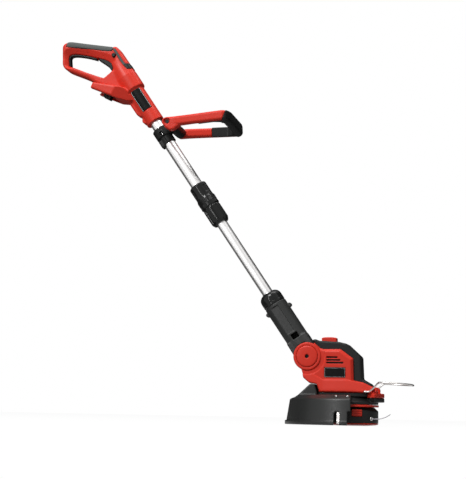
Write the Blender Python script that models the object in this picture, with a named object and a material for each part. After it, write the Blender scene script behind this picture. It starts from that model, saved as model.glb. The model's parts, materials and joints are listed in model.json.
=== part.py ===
"""A cordless string trimmer: rear handle, telescopic pole, loop handle, tilting motor head and line spool.

The world origin is the flat middle of the spool's underside, on the axis that the spool turns on.
+X points the way the head faces, +Y to the user's left and +Z up.
Every size is in millimetres and is turned into metres when a mesh is made.
"""

import math

import bmesh
import bpy
from mathutils import Matrix, Vector

MM = 0.001

# Clearances
GAP = 0.3  # between two pieces that touch
SEAM = 0.15  # from the parting plane to each half of a two-part casing
RUN = 0.6  # around a piece that moves
WIDE = 200.0  # how far a cutter reaches past everything

# The support under the tube. Places on the pole are measured up it from the tilt axis.
POLE_LEAN = 34.23  # degrees from upright, leaning back
PIVOT_X = -84.0  # the axis that the head tilts on
PIVOT_Z = 132.5
SUPPORT_R = 23.0
SUPPORT_FOOT = 28.0
SUPPORT_TOP = 125.0
COLLAR_LENGTH = 29.2
COLLAR_R = 23.4
TONGUE_R = 24.0  # the round end on the tilt axis
TONGUE_HALF = 20.2
FLANGE_R = 16.0  # the disc that holds the tube in the support
FLANGE_THICK = 6.0
FLANGE_DEPTH = 31.0  # below the support's top
PANEL_HALF = 8.0
PANEL_DEPTH = 2.6
PANEL_FOOT = SUPPORT_FOOT + 10
PANEL_TOP = SUPPORT_TOP - 5
PIN_R = 6.0
LUG_SCREW_R = 2.9

# The twist lock
SLEEVE_FOOT = 368.0
SLEEVE_LENGTH = 58.0
SLEEVE_STEP = 4.0  # from the sleeve's foot up to the ledge that the upper tube stands on
SLEEVE_R = 18.4
SLEEVE_RING_R = 20.2
SLEEVE_RING_LENGTH = 19.0
NUT_LENGTH = 41.0
NUT_R = 19.0
NUT_LIP = 6.0
COLLET_R = 14.6
NUT_RIBS = 12
NUT_GROOVE = 1.3

# The tubes
UPPER_TUBE_D = 25.0
LOWER_TUBE_D = 22.0
TUBE_WALL = 1.2
UPPER_TUBE_LENGTH = 267.7
TUBE_OVERLAP = 97.7  # how far the lower tube reaches into the upper one
TUBE_GRASP = 54.0  # how deep the upper tube sits in the rear handle
FLANGE_START = SUPPORT_TOP - FLANGE_DEPTH
LOWER_TUBE_START = FLANGE_START - 2
UPPER_TUBE_START = SLEEVE_FOOT + SLEEVE_STEP + GAP
LOWER_TUBE_END = UPPER_TUBE_START + TUBE_OVERLAP
HANDLE_START = UPPER_TUBE_START + UPPER_TUBE_LENGTH - TUBE_GRASP

# The loop handle on the pole
HINGE_N = 26.9  # its hinge, in front of the tube's axis
HINGE_DROP = 33.5  # and below the rear handle
HUB_R = 11.5
CLAMP_R = 18.0
CLAMP_BELOW = 21.5  # how far the clamp reaches below and above the hinge
CLAMP_ABOVE = 16.5
HINGE_S = HANDLE_START - HINGE_DROP
LOOP_HALF = 65.5  # from the middle to a leg's outer side, at the hinge
LEG_THICK = 17.5
LEG_STRAIGHT = 14.0  # how far past the hinge the legs start to spread
SPREAD_OUT = 0.15  # the slope of a leg's outer side, and of its inner side
SPREAD_IN = 0.21
LEG_LOW = -10.5
LEG_HIGH = 10.0
LOOP_RISE = 3.0  # degrees that the loop points above level
LOOP_REACH = 131.0
GRIP_WRAP = 66.0  # how far the grip reaches back along the legs' inner sides
GRIP_BAR = 16.0  # its depth across the front
LOOP_PIN_R = 4.0

# The rear handle
GRIP_HALF = 15.5
BARREL_R = 19.0
BULGE_R = 22.5
SHOE_HALF = 37.0
LINER = 3.0
TRIGGER_HALF = 11.0
TRIGGER_PIN_R = 2.5
LOCK_R = 4.2
LOCK_TRAVEL = 4.0
SCREW_R = 3.0

# The motor head
CORE_HALF = 24.0
COVER_HALF = 33.0
SKIRT_HALF = 38.0
LOBE_R = 27.2
CAP_R = 21.0
MOTOR_R = 17.5
MOTOR_FOOT = 74.0
MOTOR_TOP = 128.0
SHAFT_R = 2.5
BASE_LOW = 56.3
BASE_HIGH = 62.2
WALL = 2.5
BUTTON_TRAVEL = 4.0
BUTTON_HALF = 9.0

# The spool and its guard
SPOOL_R = 52.0
SPOOL_WALL = 2.5
CAP_THICK = 5.0
CAP_FLAT_R = 30.0
SPOOL_SHOULDER = 28.3
SPOOL_TOP = 35.7
RING_TOP = 40.2
HOOD_LOW = 41.0
HOOD_EDGE = 45.7
HOOD_CONE_R = 32.0
NOSE_R = 63.6
NOSE_LOW = 53.6
BOBBIN_R = 41.0
BOBBIN_CORE_R = 17.0
BOBBIN_TOP = 22.5
TAB_HALF = 10.0
TAB_LOW = 18.0
TAB_HIGH = 31.0
TAB_ANGLE = -71.5
EYELET_ANGLE = -37.0
EYELET_Z = 13.7
EYELET_R = 3.6
EYELET_LIP = 1.4
LINE_D = 1.6
SHIELD_FOOT_R = 127.0
SHIELD_DRAFT = 6.4  # how much the skirt leans in on its way up
SHIELD_LIP = 3.0  # how far the lip stands out at the skirt's foot
SHIELD_LIP_HIGH = 8.5
SHIELD_LOW = 0.8
SHIELD_HIGH = 48.9  # where the skirt turns in to the deck
DECK_RISE = 8.7  # from there up the sloping edge of the deck
DECK_RUN = 19.6
SHIELD_SEAT_R = 74.0
SHIELD_WALL = 2.6
SHIELD_TOP_R = SHIELD_FOOT_R - SHIELD_DRAFT
SHIELD_LIP_R = SHIELD_FOOT_R + SHIELD_LIP
SHIELD_CREST = SHIELD_HIGH + DECK_RISE
SHIELD_CREST_R = SHIELD_TOP_R - DECK_RUN
SHIELD_NEAR = -84.0  # degrees round from the nose, at the front edge of the right side
SHIELD_FAR = -258.6  # and at the front edge of the left side
HUMP_HALF = 36.0
CUTTER_THICK = 1.2
WIRE_D = 3.4
WIRE_HALF = 58.0
WIRE_PIVOT_X = 29.0
WIRE_PIVOT_Z = 65.3


# Outlines

def arc(centre, radius, first, last, steps):
    """Points on an arc, with its two angles in degrees."""
    turn = (last - first) / steps
    angles = [math.radians(first + turn * k) for k in range(steps + 1)]
    return [(centre[0] + radius * math.cos(a), centre[1] + radius * math.sin(a)) for a in angles]


def box_outline(low_x, high_x, low_y, high_y):
    return [(low_x, low_y), (high_x, low_y), (high_x, high_y), (low_x, high_y)]


def area(outline):
    pairs = zip(outline, outline[1:] + outline[:1])
    return sum(a[0] * b[1] - b[0] * a[1] for a, b in pairs) / 2


def grown(outline, distance):
    """The outline moved outwards by a distance, or inwards by a negative one, with mitred corners."""
    side = 1 if area(outline) > 0 else -1
    moved = []
    for k, point in enumerate(outline):
        before = Vector(point) - Vector(outline[k - 1])
        after = Vector(outline[(k + 1) % len(outline)]) - Vector(point)
        first = Vector((before.y, -before.x)).normalized() * side
        second = Vector((after.y, -after.x)).normalized() * side
        middle = (first + second) / max(1 + first.dot(second), 0.4)
        moved.append(tuple(Vector(point) + middle * distance))
    return moved


def rounded(outline, radius, steps=3):
    """The outline with each corner rounded by a small curve that starts a radius away from it."""
    soft = []
    for k, point in enumerate(outline):
        corner = Vector(point)
        to_last = Vector(outline[k - 1]) - corner
        to_next = Vector(outline[(k + 1) % len(outline)]) - corner
        reach = min(radius, to_last.length * 0.45, to_next.length * 0.45)
        start = corner + to_last.normalized() * reach
        end = corner + to_next.normalized() * reach
        for step in range(steps + 1):
            t = step / steps
            soft.append(tuple(start * (1 - t) ** 2 + corner * 2 * t * (1 - t) + end * t**2))
    return soft


def beside(path, distance):
    """The open path moved to its left by a distance."""
    moved = []
    for k, point in enumerate(path):
        before = Vector(point) - Vector(path[max(k - 1, 0)])
        after = Vector(path[min(k + 1, len(path) - 1)]) - Vector(point)
        along = (before.normalized() + after.normalized()).normalized()
        moved.append(tuple(Vector(point) + Vector((-along.y, along.x)) * distance))
    return moved


# Solids, each as a list of points and a list of faces

def prism(outline, low, high, across="Y"):
    """The outline carried from low to high along Y (outline in X and Z), or along Z (outline in X and Y)."""
    count = len(outline)
    if across == "Y":
        points = [(x, y, z) for y in (low, high) for x, z in outline]
    else:
        points = [(x, y, z) for z in (low, high) for x, y in outline]
    faces = [tuple(range(count)), tuple(range(count, 2 * count))]
    faces += [(k, (k + 1) % count, (k + 1) % count + count, k + count) for k in range(count)]
    return points, faces


def turned(profile, steps=32, first=0.0, sweep=360.0, axis="Z", centre=(0.0, 0.0, 0.0)):
    """A profile of (radius, distance along the axis) turned about the axis.

    A full turn of a profile whose two ends lie on the axis makes a solid with flat ends. Any other profile
    is closed into a ring.
    """
    full = sweep >= 360.0
    solid = profile[0][0] == 0 and profile[-1][0] == 0
    line = profile[1:-1] if solid else profile
    rings = steps if full else steps + 1
    points = []
    for ring in range(rings):
        angle = math.radians(first + sweep * ring / steps)
        points += [(radius * math.cos(angle), radius * math.sin(angle), along) for radius, along in line]
    count = len(line)
    faces = []
    for ring in range(steps):
        here, there = ring * count, (ring + 1) % rings * count
        for k in range(count - 1 if solid else count):
            after = (k + 1) % count
            faces.append((here + k, there + k, there + after, here + after))
    if solid:
        faces += [tuple(range(0, rings * count, count)), tuple(range(count - 1, rings * count, count))]
    elif not full:
        faces += [tuple(range(count)), tuple(range((rings - 1) * count, rings * count))]
    return placed(points, axis, centre), faces


def placed(points, axis, centre):
    """Points that were made about Z, turned to another axis and moved."""
    turn = {"Z": lambda p: p, "Y": lambda p: (p[0], p[2], -p[1]), "X": lambda p: (p[2], p[1], -p[0])}[axis]
    return [tuple(a + b for a, b in zip(turn(point), centre)) for point in points]


def rod(radius, low, high, steps=20, axis="Z", centre=(0.0, 0.0, 0.0), chamfer=0.0):
    """A round bar; a chamfer takes the edge off both ends."""
    edge = [(radius - chamfer, low), (radius, low + chamfer)] if chamfer else [(radius, low)]
    other = [(radius, high - chamfer), (radius - chamfer, high)] if chamfer else [(radius, high)]
    return turned([(0, low), *edge, *other, (0, high)], steps, axis=axis, centre=centre)


def pipe(inner, outer, low, high, steps=32, axis="Z", centre=(0.0, 0.0, 0.0)):
    wall = [(inner, low), (outer, low), (outer, high), (inner, high)]
    return turned(wall, steps, axis=axis, centre=centre)


def block(low_x, high_x, low_y, high_y, low_z, high_z):
    return prism(box_outline(low_x, high_x, low_z, high_z), low_y, high_y)


def spoke(shape, angle):
    """A shape drawn along +X, turned about Z to its place."""
    points, faces = shape
    turn = Matrix.Rotation(math.radians(angle), 3, "Z")
    return [tuple(turn @ Vector(point)) for point in points], faces


# Objects

def surface(name, colour, roughness, metallic=0.0):
    finish = bpy.data.materials.new(name)
    finish.use_nodes = True
    shader = finish.node_tree.nodes["Principled BSDF"]
    shader.inputs["Base Color"].default_value = (*colour, 1.0)
    shader.inputs["Roughness"].default_value = roughness
    shader.inputs["Metallic"].default_value = metallic
    return finish


def piece(name, shape, finish, frame=None, origin=(0.0, 0.0, 0.0), bevel=0.0, segments=2):
    """An object from points and faces in its frame's axes, with its own origin at a point of that frame."""
    points, faces = shape
    mesh = bpy.data.meshes.new(name)
    mesh.from_pydata([(Vector(point) - Vector(origin)) * MM for point in points], [], faces)
    build = bmesh.new()
    build.from_mesh(mesh)
    bmesh.ops.recalc_face_normals(build, faces=build.faces)
    build.to_mesh(mesh)
    build.free()
    mesh.shade_smooth()
    mesh.set_sharp_from_angle(angle=math.radians(32))
    if finish:
        mesh.materials.append(finish)
    obj = bpy.data.objects.new(name, mesh)
    bpy.context.scene.collection.objects.link(obj)
    obj.parent = frame
    obj.location = Vector(origin) * MM
    if bevel:
        soften(obj, bevel, segments)
    return obj


def soften(obj, width, segments=2):
    modifier = obj.modifiers.new("edges", "BEVEL")
    modifier.width = width * MM
    modifier.segments = segments
    modifier.limit_method = "ANGLE"
    modifier.angle_limit = math.radians(50)


def tool(shape, frame=None, bevel=0.0, segments=2):
    """A shape that only cuts, joins or trims another."""
    obj = piece("tool", shape, None, frame, bevel=bevel, segments=segments)
    obj.hide_render = True
    obj.display_type = "WIRE"
    return obj


def combine(obj, operation, others):
    for other in others:
        modifier = obj.modifiers.new(operation.lower(), "BOOLEAN")
        modifier.operation = operation
        modifier.solver = "EXACT"
        modifier.object = other


def cut(obj, *others):
    combine(obj, "DIFFERENCE", others)


def join(obj, *others):
    combine(obj, "UNION", others)


def keep(obj, other):
    combine(obj, "INTERSECT", [other])


def half_space(side, frame, start=SEAM):
    """A cutter that holds all on one side of the parting plane: side is 1 for left and -1 for right."""
    ends = sorted((side * start, side * WIDE))
    return tool(block(-5 * WIDE, 5 * WIDE, ends[0], ends[1], -5 * WIDE, 5 * WIDE), frame)


def facing(shape, side, axis, centre):
    """A shape made along +Z, turned to point along an axis or, for a side of -1, against it."""
    points, faces = shape
    return placed([(x, y, side * z) for x, y, z in points], axis, centre), faces


def socket_screw(name, radius, length, head, axis, centre, side, finish, frame=None):
    """A screw with its head towards side, a round shank and a hexagonal socket; centre is under its head."""
    shank = radius * 0.5
    profile = [(0, -length), (shank, -length), (shank, 0), (radius, 0), (radius, head), (0, head)]
    floor, mouth, wide = head * 0.4, head + 1, radius * 0.55
    socket = [(0, floor), (wide, floor), (wide, mouth), (0, mouth)]
    screw = piece(name, facing(turned(profile, 12), side, axis, centre), finish, frame)
    cut(screw, tool(facing(turned(socket, 6), side, axis, centre), frame))


def make_surfaces():
    return {
        "red": surface("red_plastic", (0.58, 0.038, 0.026), 0.42),
        "black": surface("black_plastic", (0.017, 0.019, 0.018), 0.45),
        "soft": surface("soft_grip", (0.07, 0.075, 0.072), 0.75),
        "tube": surface("aluminium", (0.75, 0.74, 0.74), 0.28, 1.0),
        "steel": surface("steel", (0.62, 0.61, 0.6), 0.3, 1.0),
        "line": surface("nylon_line", (0.55, 0.53, 0.55), 0.5),
        "copper": surface("copper", (0.7, 0.35, 0.2), 0.4, 1.0),
    }


def axes(name, at, lean=0.0, turn=0.0, parent=None):
    """An empty with its Z leaning towards its X by an angle in degrees, then turned about the old Z."""
    empty = bpy.data.objects.new(name, None)
    empty.parent = parent
    empty.location = Vector(at) * MM
    empty.rotation_euler = (0, math.radians(lean), math.radians(turn))
    bpy.context.scene.collection.objects.link(empty)
    return empty


def make_frames():
    """Empties that carry the pole's axes, the rear handle's, the loop handle's and the tilting head's."""
    pole = axes("pole_axes", (PIVOT_X, 0, PIVOT_Z), -POLE_LEAN)
    handle = axes("handle_axes", (0, 0, HANDLE_START), parent=pole)
    loop = axes("loop_axes", (HINGE_N, 0, HINGE_S), POLE_LEAN - LOOP_RISE, parent=pole)
    return pole, handle, loop


# The rear handle. Its axes are the pole's, moved up to the open end of the barrel:
# X points to the pole's front side and Z up along the tube.

HANDLE_OUTLINE = [
    (18.9, 82), (22.4, 87), (22.4, 140), (21.9, 178), (19.4, 188.6), (12, 193), (-25.9, 229),
    (-55.5, 258), (-67.5, 263.3), (-76, 261), (-98.2, 226), (-99.2, 217), (-94.8, 203.5),
    (-67.5, 162.5), (-60, 143), (-14, 84),
]
LOOP_PATH = [(-31.5, 190.5), (-45, 206.6), (-61, 222.5), (-72, 229), (-79.5, 224), (-82, 203)]
LOOP_FRONT = [
    (-64.9, 179.4), (-42.4, 148.4), (-37, 144.6), (-28, 145.2), (-18, 146.6), (-11, 152.4),
    (-10.3, 165.6), (-16.3, 177.5),
]
SHOE_OUTLINE = [
    (-60.5, 143.3), (-71.8, 135.7), (-31.4, 64.8), (-22, 56.5), (-14, 60), (-10, 74), (-12.5, 94.6),
]
PAD_OUTLINE = [
    (-68, 263), (-55.5, 258.3), (-25.9, 229.3), (12.6, 192), (11, 187.6), (3, 187.6), (-28, 216.3),
    (-62.5, 247.5), (-66.5, 251.5),
]
TRIGGER_OUTLINE = [
    (-28.5, 187.5), (-22.5, 173), (-18.2, 161), (-17.6, 151), (-15.6, 149.4), (-12.8, 150), (-7, 163),
    (-5.4, 178), (-7, 189.5), (-12, 193.4), (-18, 193.2),
]
TRIGGER_SLOT = [
    (-31, 188.5), (-22, 172), (-15, 162), (-17, 147), (-2.4, 146), (0.2, 163), (0.2, 187.5), (-4, 194.2),
    (-13, 196.5), (-25, 194),
]
TRIGGER_PIVOT = (-12.0, 187.5)
LOCK_AT = (5.4, 172.3)
INLAY_OUTLINE = [
    (10.4, 185), (10.4, 145), (13, 129), (22.9, 126.5), (22.9, 139), (17, 140.5), (15.5, 146), (15.5, 184),
]
GRIP_HOLLOW = [(-20, 206), (-29, 216), (-60, 245), (-64, 240), (-34, 210), (-26, 201)]
SWITCH_BOX = (1.0, 13.0, 130.0, 161.0)  # its front, back, foot and top
SHOE_ALONG = Vector((0.496, -0.868))  # the way a battery slides in
SHOE_UP = Vector((0.868, 0.496))
HANDLE_SCREWS = [(-87.5, 238.0), (-80.0, 189.5), (-31.0, 131.0)]


def shoe_point(along, up):
    """A point on the battery shoe: along its underside from the rear corner, and up into the handle."""
    return tuple(Vector(SHOE_OUTLINE[1]) + SHOE_ALONG * along + SHOE_UP * up)


def shoe_outline(start, end, low, high):
    return [shoe_point(start, low), shoe_point(end, low), shoe_point(end, high), shoe_point(start, high)]


def grip_hole():
    """The hand opening in the casing: the liner's outer line, then the bare front and lower edge."""
    return beside(LOOP_PATH, -(LINER + GAP)) + LOOP_FRONT


def handle_shell(name, side, finish, frame):
    """Half of the rear handle: grip loop, barrel, battery shoe and the hollows for what they hold."""
    shell = piece(name, prism(rounded(HANDLE_OUTLINE, 7, 1), -GRIP_HALF, GRIP_HALF), finish, frame)
    soften(shell, 4.5, 2)
    barrel = [
        (0, 0), (BARREL_R - 1.6, 0), (BARREL_R, 1.6), (BARREL_R, 82), (BULGE_R, 86), (BULGE_R, 118),
        (GRIP_HALF + 0.3, 160), (0, 162),
    ]
    keel = [(-10, 26), (-19, 26), (-23.6, 34), (-24, 62), (-24, 90), (-10, 90)]
    join(
        shell,
        tool(turned(barrel, 32), frame),
        tool(prism(rounded(keel, 3, 1), -11, 11), frame, bevel=4),
        tool(rod(7.2, -11, 11, 16, "Y", (-14.5, 0, 14.5), 1.5), frame),
        tool(prism(SHOE_OUTLINE, -SHOE_HALF, SHOE_HALF), frame, bevel=3.5),
    )
    bore = UPPER_TUBE_D / 2 + GAP
    front, back, foot, top = SWITCH_BOX
    cut(
        shell,
        tool(prism(grip_hole(), -WIDE, WIDE), frame),
        tool(prism(grown(PAD_OUTLINE, GAP), -WIDE, WIDE), frame),
        tool(rod(bore, -10, TUBE_GRASP + GAP, 32), frame),
        tool(rod(8, 20, foot + 1, 16), frame),
        tool(block(front - GAP, back + GAP, -9 - GAP, 9 + GAP, foot - GAP, top + GAP), frame),
        tool(prism(TRIGGER_SLOT, -TRIGGER_HALF - RUN, TRIGGER_HALF + RUN), frame),
        tool(rod(TRIGGER_PIN_R + GAP, -14, 14, 16, "Y", (TRIGGER_PIVOT[0], 0, TRIGGER_PIVOT[1])), frame),
        tool(rod(LOCK_R + GAP, -WIDE, WIDE, 20, "Y", (LOCK_AT[0], 0, LOCK_AT[1])), frame),
        tool(prism(GRIP_HOLLOW, -10, 10), frame),
        tool(prism(shoe_outline(-20, 66, -12, 9), -27, 27), frame),
        tool(prism(shoe_outline(-20, 65, 4, 8.5), -31, 31), frame),
        tool(prism(shoe_outline(20, 44, 5, 30), -12, 12), frame),
        tool(prism(grown(INLAY_OUTLINE, GAP), GRIP_HALF - 1.3, WIDE), frame),
        tool(prism(grown(INLAY_OUTLINE, GAP), -WIDE, -GRIP_HALF + 1.3), frame),
        tool(prism([(17.6, 126.2), (30, 126.2), (30, 139.3), (17.6, 139.3)], -WIDE, WIDE), frame),
        tool(plate_band(BARREL_R - 0.7, BARREL_R + 10, 1.0), frame),
    )
    for at in HANDLE_SCREWS:
        cut(shell, *screw_hole(at, GRIP_HALF, frame))
    keep(shell, half_space(side, frame))
    return shell


def screw_hole(at, half, frame):
    """A sunk hole on the left side and a thin one for the shank behind it."""
    centre = (at[0], 0, at[1])
    return (
        tool(rod(SCREW_R + GAP, half - 4, WIDE, 16, "Y", centre), frame),
        tool(rod(SCREW_R * 0.5 + GAP, -9, half, 12, "Y", centre), frame),
    )


def plate_band(inner, outer, margin):
    """The curved field on the barrel's right side that holds the bare name plate, as a part of a tube."""
    profile = [(inner, 28 - margin), (outer, 28 - margin), (outer, 77 + margin), (inner, 77 + margin)]
    spread = 29 + margin * 3
    return turned(profile, 10, -80 - spread, 2 * spread)


def make_rear_handle(finishes, frame):
    red, black, soft = finishes["red"], finishes["black"], finishes["soft"]
    handle_shell("handle_shell_left", 1, red, frame)
    handle_shell("handle_shell_right", -1, red, frame)
    pad = piece("top_grip", prism(PAD_OUTLINE, -GRIP_HALF - 1, GRIP_HALF + 1), soft, frame)
    soften(pad, 3.2, 3)
    liner = LOOP_PATH + beside(LOOP_PATH, -LINER)[::-1]
    piece("loop_liner", prism(liner, -GRIP_HALF + 0.6, GRIP_HALF - 0.6), black, frame, bevel=1.0)
    piece("rear_plate", plate_band(BARREL_R - 0.4, BARREL_R + 0.5, 0), black, frame)
    inlay = piece("shoulder_inlay", prism(INLAY_OUTLINE, GRIP_HALF - 1, GRIP_HALF + 1.6), soft, frame)
    soften(inlay, 0.7, 1)
    bridge = box_outline(18, 23.4, 126.5, 139)
    join(
        inlay,
        tool(prism(INLAY_OUTLINE, -GRIP_HALF - 1.6, -GRIP_HALF + 1), frame, 0.7, 1),
        tool(prism(bridge, -GRIP_HALF, GRIP_HALF), frame),
    )
    front, back, foot, top = SWITCH_BOX
    piece("trigger_switch", block(front, back, -9, 9, foot, top), black, frame, bevel=1)
    carrier = prism(shoe_outline(20.3, 43.7, 5.3, 29.7), -11.7, 11.7)
    terminals = piece("battery_terminals", carrier, black, frame)
    for row in (-7.5, -2.5, 2.5, 7.5):
        join(terminals, tool(prism(shoe_outline(24, 40, -3, 7), row - 0.5, row + 0.5), frame))
    for k, at in enumerate(HANDLE_SCREWS):
        centre = (at[0], GRIP_HALF - 4 + GAP, at[1])
        socket_screw(f"handle_screw_{k + 1}", SCREW_R, 18, 2.4, "Y", centre, 1, finishes["steel"], frame)


def make_trigger(finishes, frame):
    pivot = (TRIGGER_PIVOT[0], 0, TRIGGER_PIVOT[1])
    shape = prism(rounded(TRIGGER_OUTLINE, 2.5, 1), -TRIGGER_HALF, TRIGGER_HALF)
    trigger = piece("trigger", shape, finishes["black"], frame, pivot, 1.6, 1)
    join(trigger, tool(rod(TRIGGER_PIN_R, -13.7, 13.7, 16, "Y", pivot), frame))


def make_lock_button(finishes, frame):
    centre = (LOCK_AT[0], 0, LOCK_AT[1])
    ends = (-GRIP_HALF - LOCK_TRAVEL + 0.5, GRIP_HALF - 0.5)
    piece("lock_button", rod(LOCK_R, *ends, 20, "Y", centre, 1.0), finishes["black"], frame, centre)


# The pole

def make_tubes(finishes, pole):
    inner, outer = UPPER_TUBE_D / 2 - TUBE_WALL, UPPER_TUBE_D / 2
    tube = pipe(inner, outer, UPPER_TUBE_START, HANDLE_START + TUBE_GRASP, 28)
    piece("upper_tube", tube, finishes["tube"], pole)
    inner, outer = LOWER_TUBE_D / 2 - TUBE_WALL, LOWER_TUBE_D / 2
    piece("lower_tube", pipe(inner, outer, LOWER_TUBE_START, LOWER_TUBE_END, 28), finishes["tube"], pole)
    hold = [
        (outer + GAP, FLANGE_START), (FLANGE_R, FLANGE_START), (FLANGE_R, FLANGE_START + FLANGE_THICK),
        (outer + GAP, FLANGE_START + FLANGE_THICK),
    ]
    piece("swivel_flange", turned(hold, 22), finishes["steel"], pole)


def make_twist_lock(finishes, pole):
    upper = UPPER_TUBE_D / 2 + GAP
    lower = LOWER_TUBE_D / 2 + GAP
    step = UPPER_TUBE_START - GAP
    sleeve_top = SLEEVE_FOOT + SLEEVE_LENGTH
    ring_top = SLEEVE_FOOT + SLEEVE_RING_LENGTH
    nut_foot = SLEEVE_FOOT - NUT_LENGTH
    sleeve = [
        (upper, sleeve_top), (upper, step), (lower, step), (lower, SLEEVE_FOOT),
        (SLEEVE_RING_R - 1.6, SLEEVE_FOOT), (SLEEVE_RING_R, SLEEVE_FOOT + 3), (SLEEVE_RING_R, ring_top - 5),
        (SLEEVE_R, ring_top), (SLEEVE_R, sleeve_top - 2), (SLEEVE_R - 2, sleeve_top),
    ]
    body = piece("sleeve_body", turned(sleeve, 24), finishes["black"], pole)
    for angle in (45, 135, 225, 315):
        groove = block(SLEEVE_R - 1, SLEEVE_R + 5, -3, 3, ring_top + 6, sleeve_top - 8)
        cut(body, tool(spoke(groove, angle), pole))
    foot, top = nut_foot + NUT_LIP + RUN, SLEEVE_FOOT - GAP
    collet = [(lower, foot), (COLLET_R - 2, foot), (COLLET_R, foot + 12), (COLLET_R, top), (lower, top)]
    piece("collet", turned(collet, 20), finishes["black"], pole)
    count = NUT_RIBS * 4
    ring = []
    for k in range(count):
        angle = 2 * math.pi * k / count
        radius = NUT_R if k % 4 in (0, 1) else NUT_R - NUT_GROOVE
        ring.append((radius * math.cos(angle), radius * math.sin(angle)))
    nut = piece("twist_nut", prism(ring, nut_foot, top, "Z"), finishes["black"], pole, (0, 0, nut_foot))
    slope = [(NUT_R - 3.5, nut_foot - 1), (NUT_R + 6, nut_foot - 1), (NUT_R + 6, nut_foot + 9)]
    cut(
        nut,
        tool(rod(COLLET_R + RUN, nut_foot + NUT_LIP, top + 5, 20), pole),
        tool(rod(lower, nut_foot - 5, nut_foot + NUT_LIP + 5, 28), pole),
        tool(turned(slope, 24), pole),
    )


# The loop handle

def make_loop_clamp(finishes, pole):
    bore = UPPER_TUBE_D / 2 + GAP
    face = LOOP_HALF - LEG_THICK - GAP
    low, high = HINGE_S - CLAMP_BELOW, HINGE_S + CLAMP_ABOVE
    ring = [(bore, low), (CLAMP_R, low), (CLAMP_R, high), (bore, high)]
    front = piece("clamp_front", turned(ring, 14, -88, 176), finishes["black"], pole)
    join(front, tool(rod(HUB_R, -face, face, 24, "Y", (HINGE_N, 0, HINGE_S), 1.2), pole))
    cut(
        front,
        tool(rod(bore, low - 5, high + 5, 32), pole),
        tool(rod(LOOP_PIN_R + GAP, -WIDE, WIDE, 16, "Y", (HINGE_N, 0, HINGE_S)), pole),
    )
    rear = piece("clamp_rear", turned(ring, 14, 92, 176), finishes["black"], pole)
    join(rear, tool(block(-CLAMP_R - 3, -CLAMP_R + 3, -8, 8, low, low + 11), pole, bevel=2))
    cut(rear, tool(rod(bore, low - 5, high + 5, 32), pole))


def grip_plan():
    """The grip from above: a bar with an arm along each leg's inner side, which the red corners wrap round."""
    inner, front = LOOP_HALF - LEG_THICK, LOOP_REACH
    bar, start = front - GRIP_BAR, front - GRIP_WRAP
    side = inner + SPREAD_IN * (start - LEG_STRAIGHT)
    half = [
        (bar, inner + 2), (bar - 5, inner + 12), (bar - 17, inner + 17), (start, side + 1), (start, side + 4.3),
        (front - 31, inner + 22.5), (front - 21, inner + 26.4), (front - 13, inner + 26.5),
        (front - 9, inner + 23.5), (front - 6.5, inner + 18), (front - 5.7, inner + 6.3),
        (front - 3.7, inner + 4.3), (front, inner + 4.3),
    ]
    return half + [(x, -y) for x, y in half[::-1]]


def leg_plan():
    """The left leg from above: straight at the hinge, spreading forwards and turned in at the front."""
    inner, outer, front = LOOP_HALF - LEG_THICK, LOOP_HALF, LOOP_REACH
    turn, bend = front - 19, front - 12.4
    return [
        (-14, inner), (LEG_STRAIGHT, inner), (turn, inner + SPREAD_IN * (turn - LEG_STRAIGHT)),
        (front - 8, inner + 14), (front - 7, inner + 4), (front, inner + 4), (front - 0.5, inner + 12),
        (front - 2.5, inner + 22), (front - 7, inner + 30), (bend, outer + SPREAD_OUT * (bend - LEG_STRAIGHT)),
        (LEG_STRAIGHT, outer), (-14, outer),
    ]


def make_loop_handle(finishes, loop):
    red, black = finishes["red"], finishes["black"]
    grip = grip_plan()
    piece("loop_grip", prism(grip, LEG_LOW - 1, LEG_HIGH, "Z"), black, loop, bevel=3.2)
    hub = (LEG_HIGH - LEG_LOW) / 2
    rounded_end = arc((0, LEG_HIGH - hub), hub, 90, 270, 12) + [(WIDE, LEG_LOW), (WIDE, LEG_HIGH)]
    lobe = [(-9, -3), (-4, -13.5), (6, -19.5), (14, -19), (19, -15), (27, LEG_LOW + 0.2), (27, -5)]
    inner, start = LOOP_HALF - LEG_THICK, LOOP_REACH - GRIP_WRAP
    inside = [(start - GAP, inner), (start - GAP, inner + 13.5), (start + 33, inner + 19), (start + 33, inner)]
    for name, side in (("loop_leg_left", 1), ("loop_leg_right", -1)):
        plan = [(x, side * y) for x, y in leg_plan()]
        leg = piece(name, prism(plan, LEG_LOW, LEG_HIGH, "Z"), red, loop, bevel=3.2)
        keep(leg, tool(prism(rounded_end, -WIDE, WIDE), loop))
        if side < 0:
            join(leg, tool(prism(lobe, -LOOP_HALF, -inner - 2.7), loop, bevel=2.5))
        sunk = sorted((side * (LOOP_HALF - 4), side * WIDE))
        cut(
            leg,
            tool(prism(grown(grip, GAP), -WIDE, WIDE, "Z"), loop),
            tool(prism([(x, side * y) for x, y in inside], -WIDE, WIDE, "Z"), loop),
            tool(rod(LOOP_PIN_R + GAP, -WIDE, WIDE, 16, "Y"), loop),
            tool(rod(LOOP_PIN_R + 2.8, *sunk, 20, "Y"), loop),
        )
    piece("loop_bolt", rod(LOOP_PIN_R, -LOOP_HALF + 4.5, LOOP_HALF - 4.5, 20, "Y"), finishes["steel"], loop)


# The support that joins the pole to the head

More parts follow.
